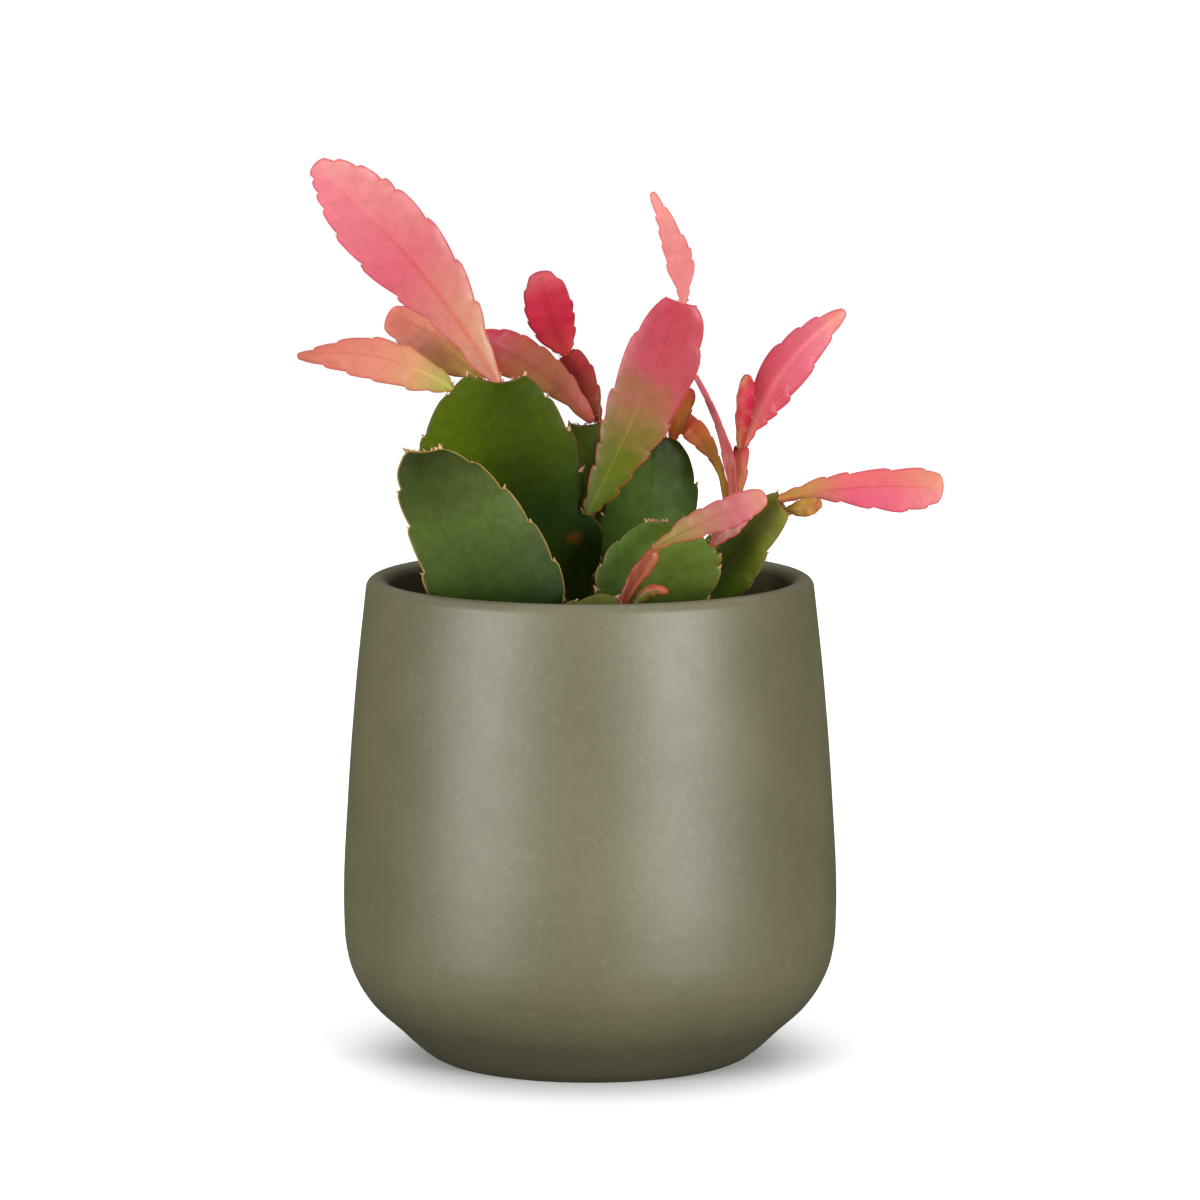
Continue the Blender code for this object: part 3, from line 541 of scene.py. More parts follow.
def bladeMesh(stem):  # closed blade with a front and a back that meet along the margin
    widest = max(value for label in ("left", "right") for t, value in stem[label])
    half = blade["wideColumns"] if widest > blade["wideFrom"] else blade["narrowColumns"]
    columns = [-a for a in reversed(half[1:])] + half
    rows = bladeRows(stem)
    seed = Vector(stem["tip"]) * blade["swaySeed"]
    neckEnd = max(stem["start"], blade["neckFrom"])
    verts, facts, grids = [], [], ([], [])
    for number, (left, right, thick) in enumerate(rows):
        tMiddle = (left[0] + right[0]) / 2
        front, back = [], []
        for a in columns:
            tEdge, full, taken, u = left if a < 0 else right
            t = tMiddle + (tEdge - tMiddle) * abs(a)
            nearTop = max(0.0, (t - 1 + blade["topShare"]) / blade["topShare"]) ** 2
            tLow = t - nearTop * topDrop(stem, a) / stem["length"]
            out = stemFrame(stem, tLow)[2]
            across = a * full - math.copysign(taken * soften((abs(a) - 0.5) / 0.5), a)
            share = max(1 - abs(across / full) ** blade["fullness"], 0.0, 1 - t / neckEnd)
            power = 2 + 4 * soften(t / neckEnd)
            body = stem["edge"] / 2 + (stem["rib"] - stem["edge"]) / 2 * share
            ridge = blade["ridge"] * math.exp(-(across / blade["ridgeWidth"]) ** 2)
            ridge *= soften(t / blade["ridgeRise"]) * soften((1 - t) / blade["ridgeFall"])
            high = thick * (math.sqrt(max(0.0, 1 - abs(a) ** power)) * body + ridge)
            place = stemPoint(stem, tLow, across)
            sway = abs(a) ** blade["swayPower"] * math.sin(math.tau * u) * (1 if a < 0 else -1)
            sway += blade["swayGain"] * noise.noise(place * blade["swayScale"] + seed)
            place = place + out * sway * stem["ripple"] * soften(t / 0.3) * soften((1.02 - t) / 0.1)
            fromEdge = (1 - abs(a)) * full
            if number > len(rows) / 2:
                fromEdge = min(fromEdge, max(0.0, (1 - t) * stem["length"]))
            sides = [place + out * high, place - out * high] if high > 1e-6 and abs(a) < 1 else [place]
            front.append(len(verts))
            back.append(len(verts) + len(sides) - 1)
            verts.extend(sides)
            facts.extend([(t, a, fromEdge, abs(across))] * len(sides))
        grids[0].append(front)
        grids[1].append(back)
    faces = []
    for grid, turned in zip(grids, (False, True)):
        for low, high in zip(grid, grid[1:]):
            for j in range(len(columns) - 1):
                corners = [low[j], low[j + 1], high[j + 1], high[j]]
                faces.append(corners[::-1] if turned else corners)
    mesh = bpy.data.meshes.new(stem["node"])
    mesh.from_pydata([place * mm for place in verts], [], faces)
    for label, values in zip(("along", "across", "fromEdge", "fromRib"), zip(*facts)):
        mesh.attributes.new(label, 'FLOAT', 'POINT').data.foreach_set("value", values)
    mesh.shade_smooth()
    return mesh


# stems: the values of each one, with left and right as seen from the side that it faces
# left and right hold (place along it, half width), and skin holds (place along it, red, green, blue)
# at is what it grows from: a side and the number of the notch, or "top" and the place across it
stems = [
    {"node": "pad_front_left", "slot": "deep_green_pad", "base": (-14, -24, 96), "tip": (-43.4, -26.5, 163),
     "face": (0.05, -1, 0.12), "arch": 1.5, "cup": -0.03, "dip": 0.6, "slant": 1.7,
     "notches": {"left": [0.15, 0.28, 0.43, 0.6, 0.77, 0.9], "right": [0.15, 0.3, 0.45, 0.61, 0.76, 0.89]},
     "left": [(0, 2.1), (0.175, 2.3), (0.23, 7), (0.34, 12.6), (0.5, 14), (0.7, 12.6), (0.86, 11), (0.94, 9),
         (1, 3.8)],
     "right": [(0, 2.1), (0.175, 2.3), (0.23, 12), (0.33, 19.6), (0.44, 20.4), (0.6, 19), (0.74, 16.4),
         (0.87, 12.2), (0.95, 8), (1, 4.8)],
     "skin": [(0, 18, 32, 9), (0.3, 24, 37, 12), (0.7, 55, 66, 31), (1, 33, 38, 14)],
     "sideTone": (0.95, 1.05), "centreTone": 0.92, "margin": (146, 118, 70), "marginShow": 0.65},
    {"node": "pad_left", "slot": "green_pad", "base": (-11.2, -8, 96), "tip": (-24, -6, 180.6),
     "face": (0, -1, 0.05), "arch": -1, "cup": 0.03, "depth": 1.2, "deep": {("right", 2): 1.3}, "dip": 2.2,
     "slant": 1.2, "rib": 3.2, "scaleSize": 1.25,
     "notches": {"left": [0.15, 0.32, 0.5, 0.68, 0.85, 0.955],
         "right": [0.15, 0.34, 0.545, 0.67, 0.8, 0.91]},
     "left": [(0, 2.1), (0.175, 2.3), (0.22, 11), (0.34, 18), (0.5, 22.4), (0.7, 24.4), (0.83, 22.8),
         (0.9, 19), (0.955, 14.4), (1, 8)],
     "right": [(0, 2.1), (0.175, 2.3), (0.22, 11), (0.3, 15.2), (0.4, 20), (0.48, 21), (0.55, 18.2),
         (0.63, 18.4), (0.76, 17.7), (0.85, 14.8), (0.93, 11.6), (1, 7.2)],
     "skin": [(0, 47, 54, 10), (0.3, 43, 53, 12), (0.55, 26, 42, 6), (0.8, 47, 57, 7), (1, 45, 54, 8)],
     "sideTone": (1.3, 0.95), "centreTone": 0.72, "shine": 0.05,
     "marks": [(0.467, 13.4, 3, (104, 56, 18), 0.5)]},
    {"node": "pad_back", "slot": "deep_green_pad", "base": (3, 18, 96), "tip": (-0.8, 18, 165.4),
     "face": (0.1, -1, 0), "arch": -1.5, "depth": 1.2, "dip": 0.8,
     "right": [(0, 2.1), (0.175, 2.3), (0.24, 9), (0.4, 13.4), (0.6, 14.6), (0.8, 12.8), (0.92, 8.8),
         (1, 4.8)],
     "skin": [(0, 50, 58, 20), (0.5, 68, 80, 26), (0.85, 52, 62, 19), (1, 54, 58, 22)]},
    {"node": "pad_middle_right", "slot": "deep_green_pad", "base": (11.4, 9, 96), "tip": (17.6, 10, 163.4),
     "face": (0.15, -1, 0), "arch": 1, "cup": -0.12, "depth": 1.2, "dip": 0.6, "slant": 1,
     "right": [(0, 2.1), (0.175, 2.3), (0.24, 7.5), (0.4, 11.4), (0.6, 13), (0.8, 12.6), (0.91, 9.8),
         (1, 5.4)],
     # its own deep green, with the top stop darkened as painted shadow at the top
     "skin": [(0, 56, 72, 30), (0.5, 60, 80, 34), (0.8, 52, 66, 30), (1, 26, 30, 9)],
     "sideTone": (1.2, 1)},
    {"node": "pad_front_right", "slot": "green_pad", "base": (15.5, -22, 96), "tip": (17, -24.5, 144.3),
     "face": (0, -1, 0.15), "arch": 1, "cup": 0.02, "start": 0.2, "rib": 2.8, "edge": 0.95,
     "notches": {"left": [0.2, 0.34, 0.48, 0.62, 0.76, 0.88],
         "right": [0.2, 0.38, 0.59, 0.765, 0.835, 0.885]},
     "left": [(0, 2.1), (0.23, 2.4), (0.36, 8.6), (0.52, 14), (0.66, 15.6), (0.8, 13.4), (0.92, 8.4),
         (1, 2.4)],
     "right": [(0, 2.1), (0.23, 2.4), (0.36, 8), (0.55, 13.8), (0.7, 17), (0.8, 17.6), (0.9, 14), (0.96, 10),
         (1, 3)],
     "skin": [(0, 40, 50, 20), (0.4, 48, 60, 27), (0.7, 53, 64, 27), (1, 58, 73, 29)],
     "sideTone": (0.95, 1.18), "leftTint": (0.95, 1, 1.1), "rightTint": (1.1, 1.04, 0.8),
     "margin": (112, 88, 52)},
    {"node": "pad_right", "slot": "green_pad", "base": (22, -8, 96), "tip": (50.4, -12, 147.6),
     "face": (-0.766, -0.643, 0), "bend": -5.5, "start": 0.18, "dip": 0.6, "rib": 2.8, "edge": 0.95,
     "notches": {"left": [0.18, 0.36, 0.52, 0.66, 0.785], "right": [0.18, 0.33, 0.49, 0.645, 0.8]},
     "left": [(0, 2.1), (0.2, 2.4), (0.32, 7), (0.5, 11.6), (0.66, 12.4), (0.82, 9.8), (0.93, 6.4), (1, 4)],
     "right": [(0, 2.1), (0.2, 2.4), (0.32, 4.6), (0.5, 8.2), (0.66, 9.8), (0.8, 8), (0.93, 6.2), (1, 4)],
     "skin": [(0, 58, 74, 24), (0.45, 60, 78, 26), (0.75, 70, 78, 26), (1, 90, 86, 34)],
     "sideTone": (0.8, 1.25), "centreTone": 0.42},
    {"node": "pad_low_front", "slot": "green_pad", "base": (-18, -33, 96), "tip": (7.6, -34, 123.6),
     "face": (0, -1, 0.1), "bend": -6.5, "start": 0.3, "teeth": 3, "depth": 1, "rib": 2.2, "edge": 0.9,
     "scaleSize": 1.5,
     "right": [(0, 1.8), (0.33, 2), (0.48, 4.2), (0.7, 5.4), (0.9, 4.4), (1, 2.2)],
     "skin": [(0, 52, 58, 22), (1, 64, 66, 28)]},
    {"node": "shoot_left_tall", "slot": "rose_shoot", "on": "pad_left", "at": ("top", 0),
     "tip": (-70.9, -16, 235.8), "lift": (-1.3, 0, 0), "bend": 2.9, "arch": -2, "cup": -0.03, "start": 0.15,
     "depth": 0.95, "rib": 1.8, "edge": 0.8,
     "notches": {"left": [0.15, 0.3, 0.435, 0.615, 0.765, 0.865, 0.92, 0.965],
         "right": [0.155, 0.255, 0.41, 0.585, 0.73, 0.79, 0.885, 0.955]},
     "left": [(0, 1.6), (0.05, 3.2), (0.1, 4.3), (0.17, 5), (0.25, 5.9), (0.33, 7.6), (0.44, 9.7),
         (0.6, 11.3), (0.74, 10.7), (0.85, 8.4), (0.93, 5.6), (0.975, 3.4), (1, 1.4)],
     "right": [(0, 1.6), (0.08, 3.4), (0.16, 5.6), (0.28, 7.9), (0.41, 9.9), (0.59, 11), (0.75, 10.2),
         (0.87, 8), (0.95, 5), (1, 1.6)],
     "skin": [(0, 128, 92, 71), (0.15, 135, 92, 72), (0.5, 139, 65, 71), (0.8, 148, 80, 84),
         (1, 154, 91, 93)],
     "leftTint": (1, 0.87, 1), "rightTint": (1, 1.08, 0.98), "drift": 0.2, "mottle": 0.08,
     "midribLow": (1.04, 0.62, 0.62), "midribHigh": (1.03, 1.13, 0.98), "midribTurn": 0.62,
     "midribWidth": 0.95},
    {"node": "shoot_left_low", "slot": "coral_shoot", "on": "pad_left", "at": ("left", 5),
     "tip": (-75.9, -12, 185.7), "face": (0, -1, 0.2), "lift": (1.9, 0, 1.7), "bend": 3.9, "start": 0.115,
     "depth": 0.6, "rib": 1.7,
     "notches": {"left": [0.115, 0.255, 0.51, 0.69, 0.845], "right": [0.14, 0.37, 0.54, 0.757, 0.9]},
     "left": [(0, 1.6), (0.05, 3), (0.13, 4.6), (0.23, 5.8), (0.33, 6.1), (0.51, 6.4), (0.64, 5.8),
         (0.77, 4.5), (0.9, 2.8), (1, 0.8)],
     "right": [(0, 1.6), (0.05, 2.7), (0.13, 3.8), (0.23, 4.4), (0.33, 5.2), (0.51, 5.3), (0.64, 4.4),
         (0.77, 3.1), (0.9, 1.6), (1, 0.7)],
     "skin": [(0, 103, 108, 40), (0.25, 139, 96, 66), (0.5, 143, 84, 70), (0.8, 139, 76, 64),
         (1, 129, 74, 56)],
     "midribHigh": (0.92, 0.62, 0.6), "midribTurn": 0.3},
    {"node": "shoot_left_back", "slot": "coral_shoot", "on": "pad_left", "at": ("top", -0.62),
     "tip": (-53, 10, 195), "face": (0, -1, 0.3), "lift": (-1, 2.3, -0.8), "bend": 1.6, "start": 0.2,
     "teeth": 4,
     "left": [(0, 1.4), (0.08, 3.6), (0.2, 6.2), (0.4, 7.6), (0.6, 7.2), (0.85, 5.9), (0.95, 4.6), (1, 2.4)],
     "right": [(0, 1.4), (0.12, 2.9), (0.35, 4.9), (0.6, 5.4), (0.85, 4.2), (0.95, 2.8), (1, 1.4)],
     "skin": [(0, 114, 88, 44), (0.25, 134, 96, 57), (0.6, 162, 102, 83), (0.85, 156, 88, 76),
         (1, 160, 92, 79)],
     "sideTone": (0.92, 1.16), "shine": 0.08},
    {"node": "shoot_back_curved", "slot": "coral_shoot", "on": "pad_back", "at": ("top", -0.1),
     "tip": (-30.5, 8, 188.8), "face": (0, -1, 0.2), "lift": (1.3, -0.9, 0.3), "bend": 2.8, "start": 0.18,
     "teeth": 6,
     "left": [(0, 1.4), (0.1, 2.3), (0.2, 2.9), (0.35, 4), (0.5, 5.4), (0.7, 6.4), (0.85, 5.2), (0.94, 3.2),
         (1, 1.2)],
     "right": [(0, 1.4), (0.1, 2.7), (0.2, 3.7), (0.3, 4.7), (0.42, 5.4), (0.55, 5.9), (0.7, 6), (0.85, 4.8),
         (0.94, 3.2), (1, 1.2)],
     "skin": [(0, 120, 60, 44), (0.15, 152, 88, 68), (0.4, 156, 98, 62), (0.65, 134, 68, 50),
         (0.85, 130, 42, 54), (1, 138, 50, 56)],
     "leftTint": (0.96, 1.1, 0.86), "rightTint": (1.02, 0.88, 1.06), "drift": 0.2, "shine": 0.08,
     "midribLow": (1.06, 0.7, 0.95), "midribHigh": (0.95, 0.62, 0.85), "midribWidth": 1.5},
    {"node": "shoot_back_dark", "slot": "crimson_shoot", "on": "pad_back", "at": ("top", 0.62),
     "tip": (-6.3, 21, 183.4), "face": (0, -1, 0.1), "lift": (0, 0.9, 0), "bend": 0.8, "start": 0.2,
     "teeth": 3, "dip": 0.5,
     "left": [(0, 1), (0.14, 2.2), (0.4, 3.9), (0.7, 4.3), (0.92, 3.6), (1, 2.4)],
     "right": [(0, 1), (0.14, 2.2), (0.4, 3.5), (0.55, 3.9), (0.7, 4.3), (0.92, 3.6), (1, 2.4)],
     "skin": [(0, 63, 30, 12), (0.3, 105, 48, 32), (0.7, 118, 38, 42), (1, 135, 48, 46)],
     "sideTone": (0.72, 1.15), "shine": 0.08},
    {"node": "shoot_back_crimson", "slot": "crimson_shoot", "on": "shoot_back_dark", "at": ("top", 0),
     "tip": (-13.4, 19, 205.3), "face": (0.1, -1, 0), "bend": -0.4, "cup": 0.12, "start": 0.1,
     "notches": {"left": [0.1, 0.32, 0.5, 0.66, 0.85], "right": [0.1, 0.25, 0.42, 0.575, 0.875]},
     "left": [(0, 1.6), (0.06, 3.2), (0.16, 4.8), (0.3, 6.1), (0.5, 6.9), (0.65, 6.6), (0.8, 5.6),
         (0.94, 3.4), (1, 1.4)],
     "right": [(0, 1.6), (0.06, 3), (0.16, 4.3), (0.3, 5.3), (0.55, 6.3), (0.8, 5.5), (0.94, 3.3), (1, 1.4)],
     "skin": [(0, 184, 62, 62), (0.35, 155, 34, 52), (0.7, 150, 36, 54), (1, 164, 76, 80)],
     "shine": 0.08, "midribLow": (0.85, 0.7, 0.6), "midribHigh": (0.9, 0.75, 0.7), "midribWidth": 1.2},
    {"node": "shoot_middle", "slot": "rose_shoot", "on": "pad_left", "at": ("right", 2),
     "tip": (23.5, -18, 200.5), "lift": (-1.7, -1.9, -0.7), "bend": 0.8, "arch": 1.5, "cup": -0.05,
     "start": 0.06, "depth": 0.9, "dip": 0.3, "slant": -0.25, "rib": 1.9, "edge": 0.8,
     "notches": {"left": [0.06, 0.2, 0.3, 0.4, 0.545, 0.815],
         "right": [0.06, 0.145, 0.23, 0.345, 0.49, 0.835]},
     "left": [(0, 1.5), (0.04, 2.6), (0.1, 3.6), (0.22, 4.8), (0.39, 7.2), (0.52, 8.4), (0.7, 8.9),
         (0.81, 8.5), (0.91, 6.9), (1, 4.3)],
     "right": [(0, 1.5), (0.05, 3.4), (0.1, 4.8), (0.2, 6), (0.3, 7.4), (0.4, 9.1), (0.5, 9.9), (0.6, 10.1),
         (0.73, 10.7), (0.84, 9.8), (0.94, 7.7), (1, 4.4)],
     "skin": [(0, 62, 74, 28), (0.25, 66, 69, 14), (0.45, 94, 70, 38), (0.7, 122, 46, 56), (1, 124, 38, 50)],
     "rightTint": (1.02, 1.12, 0.94), "drift": 0.3, "colourSlope": 0.05, "mottle": 0.09, "veins": 0.03,
     "midribLow": (1.45, 1.4, 1.3), "midribTurn": 0.55, "midribWidth": 0.36},
    {"node": "shoot_middle_top", "slot": "coral_shoot", "on": "shoot_middle", "at": ("top", 0.1),
     "tip": (16, -14, 228.4), "face": (0.1, -1, 0), "bend": 2, "cup": 0.2, "start": 0.1, "rib": 1.5,
     "notches": {"left": [0.1, 0.34, 0.53, 0.67, 0.8], "right": [0.1, 0.33, 0.435, 0.56, 0.84]},
     "left": [(0, 1), (0.12, 2.4), (0.3, 3.7), (0.5, 3.7), (0.75, 2.7), (0.93, 1.6), (1, 0.7)],
     "right": [(0, 1), (0.12, 2.4), (0.3, 3.7), (0.42, 3.6), (0.55, 2.7), (0.75, 1.7), (0.93, 0.9),
         (1, 0.7)],
     "skin": [(0, 142, 78, 79), (0.4, 146, 81, 80), (0.7, 148, 88, 86), (1, 172, 99, 93)],
     "midribLow": (1.05, 1.15, 1), "midribHigh": (1.05, 1.1, 0.95)},
    {"node": "shoot_gold", "slot": "olive_shoot", "on": "pad_middle_right", "at": ("top", 0.85),
     "tip": (26.3, 5, 175.7), "lift": (-0.1, -0.6, 0), "cup": 0.15, "teeth": 2, "depth": 0.4,
     "left": [(0, 1.2), (0.12, 2.4), (0.3, 3.7), (0.5, 4.1), (0.7, 3.4), (0.88, 2.2), (1, 0.9)],
     "right": [(0, 1.2), (0.15, 2.2), (0.45, 2.4), (0.7, 2.5), (0.88, 2.1), (1, 0.9)],
     "skin": [(0, 88, 46, 22), (0.4, 114, 70, 34), (0.8, 134, 74, 42), (1, 148, 62, 44)],
     "leftTint": (1.08, 0.8, 1.05), "shine": 0.08},
    {"node": "shoot_right_bent", "slot": "coral_shoot", "on": "pad_right", "at": ("left", 4),
     "tip": (22.3, 13.5, 167.4), "face": (-0.2, -1, 0), "lift": (-0.9, -0.1, 0.4), "bend": 3.8, "teeth": 4,
     "depth": 0.4,
     "right": [(0, 1), (0.2, 1.2), (0.4, 1.4), (0.6, 2.6), (0.78, 3.3), (0.93, 2.9), (1, 1.8)],
     "skin": [(0, 80, 66, 18), (0.4, 110, 84, 30), (0.65, 156, 92, 46), (0.85, 154, 66, 44),
         (1, 148, 82, 54)],
     "shine": 0.08},
    {"node": "shoot_right_thin", "slot": "rose_shoot", "on": "pad_right", "at": ("left", 4),
     "tip": (27.4, 2, 179.5), "face": (-0.2, -1, 0), "lift": (0.7, -2.5, 0.5), "bend": 2.4, "cup": 0.3,
     "start": 0.2, "teeth": 4, "depth": 0.2, "rib": 1.3,
     "left": [(0, 0.8), (0.2, 1.2), (0.37, 1.5), (0.52, 1.1), (0.8, 0.9), (1, 0.7)],
     "right": [(0, 0.8), (0.2, 1.7), (0.37, 2.1), (0.52, 1.4), (0.74, 1), (1, 0.7)],
     "skin": [(0, 96, 42, 24), (0.35, 108, 46, 40), (0.7, 132, 66, 66), (1, 150, 82, 82)]},
    {"node": "shoot_right_stem", "slot": "coral_shoot", "on": "pad_right", "at": ("left", 4),
     "tip": (39.4, 0.5, 161), "lift": (2, 0.1, 0.5), "teeth": 2, "depth": 0.4, "dip": 0.3,
     "left": [(0, 0.9), (0.2, 1.2), (0.6, 1.8), (0.9, 1.9), (1, 1.7)],
     "right": [(0, 0.9), (0.2, 1.4), (0.6, 2.3), (0.9, 2.4), (1, 1.9)],
     "skin": [(0, 114, 74, 42), (0.4, 136, 80, 50), (0.8, 134, 60, 52), (1, 120, 30, 34)],
     "shine": 0.08},
    {"node": "shoot_right_bud", "slot": "crimson_shoot", "on": "shoot_right_stem", "at": ("top", -0.4),
     "tip": (40.9, -2.5, 180.1), "face": (0.3, -1, 0), "lift": (0.3, -1, 0), "cup": 0.5, "start": 0.2,
     "teeth": 3, "depth": 0.35, "rib": 1.5,
     "right": [(0, 0.9), (0.12, 1.5), (0.4, 2.4), (0.75, 2.6), (0.93, 1.6), (1, 0.7)],
     "skin": [(0, 110, 42, 16), (0.4, 128, 18, 32), (0.8, 146, 30, 50), (1, 140, 50, 42)],
     "leftTint": (0.92, 3, 0.9), "tintSoft": 0.12, "midribShow": 0.3},
    {"node": "shoot_right_tall", "slot": "rose_shoot", "on": "shoot_right_stem", "at": ("top", 0.6),
     "tip": (66.7, 4, 196.1), "lift": (0.2, 0.6, 0), "bend": -3.6, "start": 0.09, "depth": 0.65, "rib": 1.7,
     "ripple": 0.12,
     "notches": {"left": [0.09, 0.2, 0.34, 0.6, 0.745, 0.86],
         "right": [0.09, 0.165, 0.245, 0.375, 0.64, 0.85]},
     "left": [(0, 1), (0.1, 2.4), (0.25, 4.5), (0.5, 5.8), (0.75, 4.5), (0.93, 2.3), (1, 0.9)],
     "right": [(0, 1), (0.1, 2.6), (0.2, 4.5), (0.34, 6), (0.5, 6.5), (0.62, 6.2), (0.75, 4.9), (0.93, 2.5),
         (1, 0.9)],
     "skin": [(0, 136, 54, 46), (0.3, 139, 44, 55), (0.55, 145, 58, 71), (0.8, 150, 74, 84),
         (1, 160, 98, 86)],
     "sideTone": (0.96, 1.03), "leftTint": (1, 0.96, 0.94), "rightTint": (1, 1.08, 1.06),
     "midribLow": (1.16, 1.9, 1.5), "midribHigh": (1.14, 1.6, 1.3), "midribWidth": 1.3},
    {"node": "shoot_far_right", "slot": "rose_shoot", "on": "pad_right", "at": ("top", -0.3),
     "tip": (91.6, -18, 152), "face": (0, -1, 0.1), "bend": -1.5, "start": 0.12, "depth": 0.65, "rib": 1.7,
     "notches": {"left": [0.12, 0.28, 0.42, 0.675, 0.885], "right": [0.12, 0.345, 0.555, 0.785, 0.915]},
     "left": [(0, 1.2), (0.1, 2.6), (0.23, 3.7), (0.4, 4.3), (0.67, 4.8), (0.87, 5), (0.96, 3.8), (1, 1.9)],
     "right": [(0, 1.2), (0.1, 1.5), (0.2, 1.9), (0.32, 3.5), (0.53, 5.8), (0.72, 6.9), (0.9, 5.6),
         (0.97, 3.8), (1, 1.9)],
     "skin": [(0, 116, 82, 32), (0.18, 132, 90, 56), (0.42, 154, 67, 75), (0.7, 150, 70, 74),
         (1, 150, 98, 82)],
     "leftTint": (0.97, 1.04, 0.88), "rightTint": (1.04, 0.9, 1.2), "midribHigh": (0.92, 0.6, 0.66),
     "midribTurn": 0.2},
    {"node": "shoot_far_right_bud", "slot": "olive_shoot", "on": "pad_right", "at": ("top", 0.8),
     "tip": (60, -20, 148.4), "face": (0, -1, 0.3), "bend": 0.3, "teeth": 2, "depth": 0.2, "rib": 1.4,
     "right": [(0, 0.8), (0.12, 1.7), (0.3, 2.4), (0.6, 2.6), (0.83, 1.9), (1, 0.8)],
     "skin": [(0, 84, 64, 20), (0.4, 140, 106, 40), (0.75, 158, 110, 52), (1, 150, 86, 56)]},
    {"node": "shoot_front_stem", "slot": "crimson_shoot", "on": "pad_low_front", "at": ("top", 0),
     "tip": (16.7, -34, 138), "face": (0.2, -1, 0), "start": 0.12, "depth": 0.3,
     "notches": {"left": [0.3, 0.67], "right": [0.12, 0.6]},
     "left": [(0, 1.3), (0.2, 2.4), (0.4, 2.9), (0.6, 2.8), (0.8, 2.2), (1, 1.3)],
     "right": [(0, 1), (0.2, 1.2), (0.5, 1.4), (0.62, 2.5), (0.85, 2.3), (1, 1.4)],
     "skin": [(0, 80, 34, 18), (0.5, 92, 44, 30), (1, 104, 54, 30)],
     "sideTone": (1, 1.15), "rightTint": (1.25, 1.7, 1.7), "tintSoft": 0.15},
    {"node": "shoot_front", "slot": "rose_shoot", "on": "shoot_front_stem", "at": ("top", 0),
     "tip": (45.2, -38, 152.2), "face": (0, -1, 0.2), "bend": -0.7, "start": 0.16, "depth": 0.45,
     "notches": {"left": [0.16, 0.33, 0.47, 0.635, 0.82], "right": [0.16, 0.41, 0.6, 0.73, 0.84]},
     "left": [(0, 1), (0.1, 1.7), (0.3, 3.5), (0.5, 3.8), (0.8, 3.8), (0.92, 3.1), (1, 1.4)],
     "right": [(0, 1), (0.1, 1.6), (0.3, 3.1), (0.5, 4), (0.65, 4.7), (0.8, 4.3), (0.91, 3.3), (1, 1.4)],
     "skin": [(0, 92, 84, 32), (0.25, 103, 85, 46), (0.5, 118, 74, 62), (0.75, 128, 66, 70),
         (1, 143, 95, 81)],
     "midribLow": (0.9, 0.66, 0.5), "midribHigh": (0.92, 0.8, 0.8), "midribTurn": 0.8, "midribWidth": 0.34},
    {"node": "shoot_front_back", "slot": "coral_shoot", "on": "pad_front_right", "at": ("right", 5),
     "tip": (40.8, -22, 146.3), "face": (0, -1, 0.2), "bend": -0.5, "teeth": 2, "depth": 0.35, "rib": 1.5,
     "right": [(0, 1.1), (0.2, 2.2), (0.5, 3.1), (0.8, 2.7), (1, 1)],
     "skin": [(0, 88, 44, 34), (0.5, 117, 68, 62), (1, 134, 92, 76)]},
    {"node": "shoot_front_hook", "slot": "crimson_shoot", "on": "shoot_front_stem", "at": ("right", 0),
     "tip": (20.1, -39, 127.5), "face": (0, -1, 0.2), "lift": (0.5, -0.8, 0), "bend": -1.7, "teeth": 2,
     "depth": 0.2, "rib": 1.4,
     "right": [(0, 0.8), (0.25, 1.8), (0.6, 1.7), (0.85, 1.3), (1, 0.5)],
     "skin": [(0, 62, 76, 28), (0.45, 90, 66, 27), (1, 124, 72, 42)],
     "leftTint": (1.35, 0.75, 0.95), "rightTint": (0.8, 1.15, 0.9)},
]


# stems: skin, and the blades themselves

skinGrain = {
    "clouds": 110.0, "mottle": 420.0, "gloss": 240.0, "relief": 260.0, "fine": 1500.0, "fibre": 1.3,
    "fibreAcross": 1.6, "fibreAlong": 0.35, "fibreTone": 0.3, "veinLean": -0.09, "veinRelief": 0.12,
    "roughLow": 0.34, "roughHigh": 0.5, "glowColours": (1.0, 0.5, 0.3), "glowDepth": 1.2, "raggedness": 0.006,
}


def evenRamp(value, spread):  # a noise as a factor around 1
    return ramp(value, 0.3, 0.7, 1 - spread, 1 + spread)


def tinted(amount, first, second):
    return mix(amount, (*first, 1.0), (*second, 1.0))


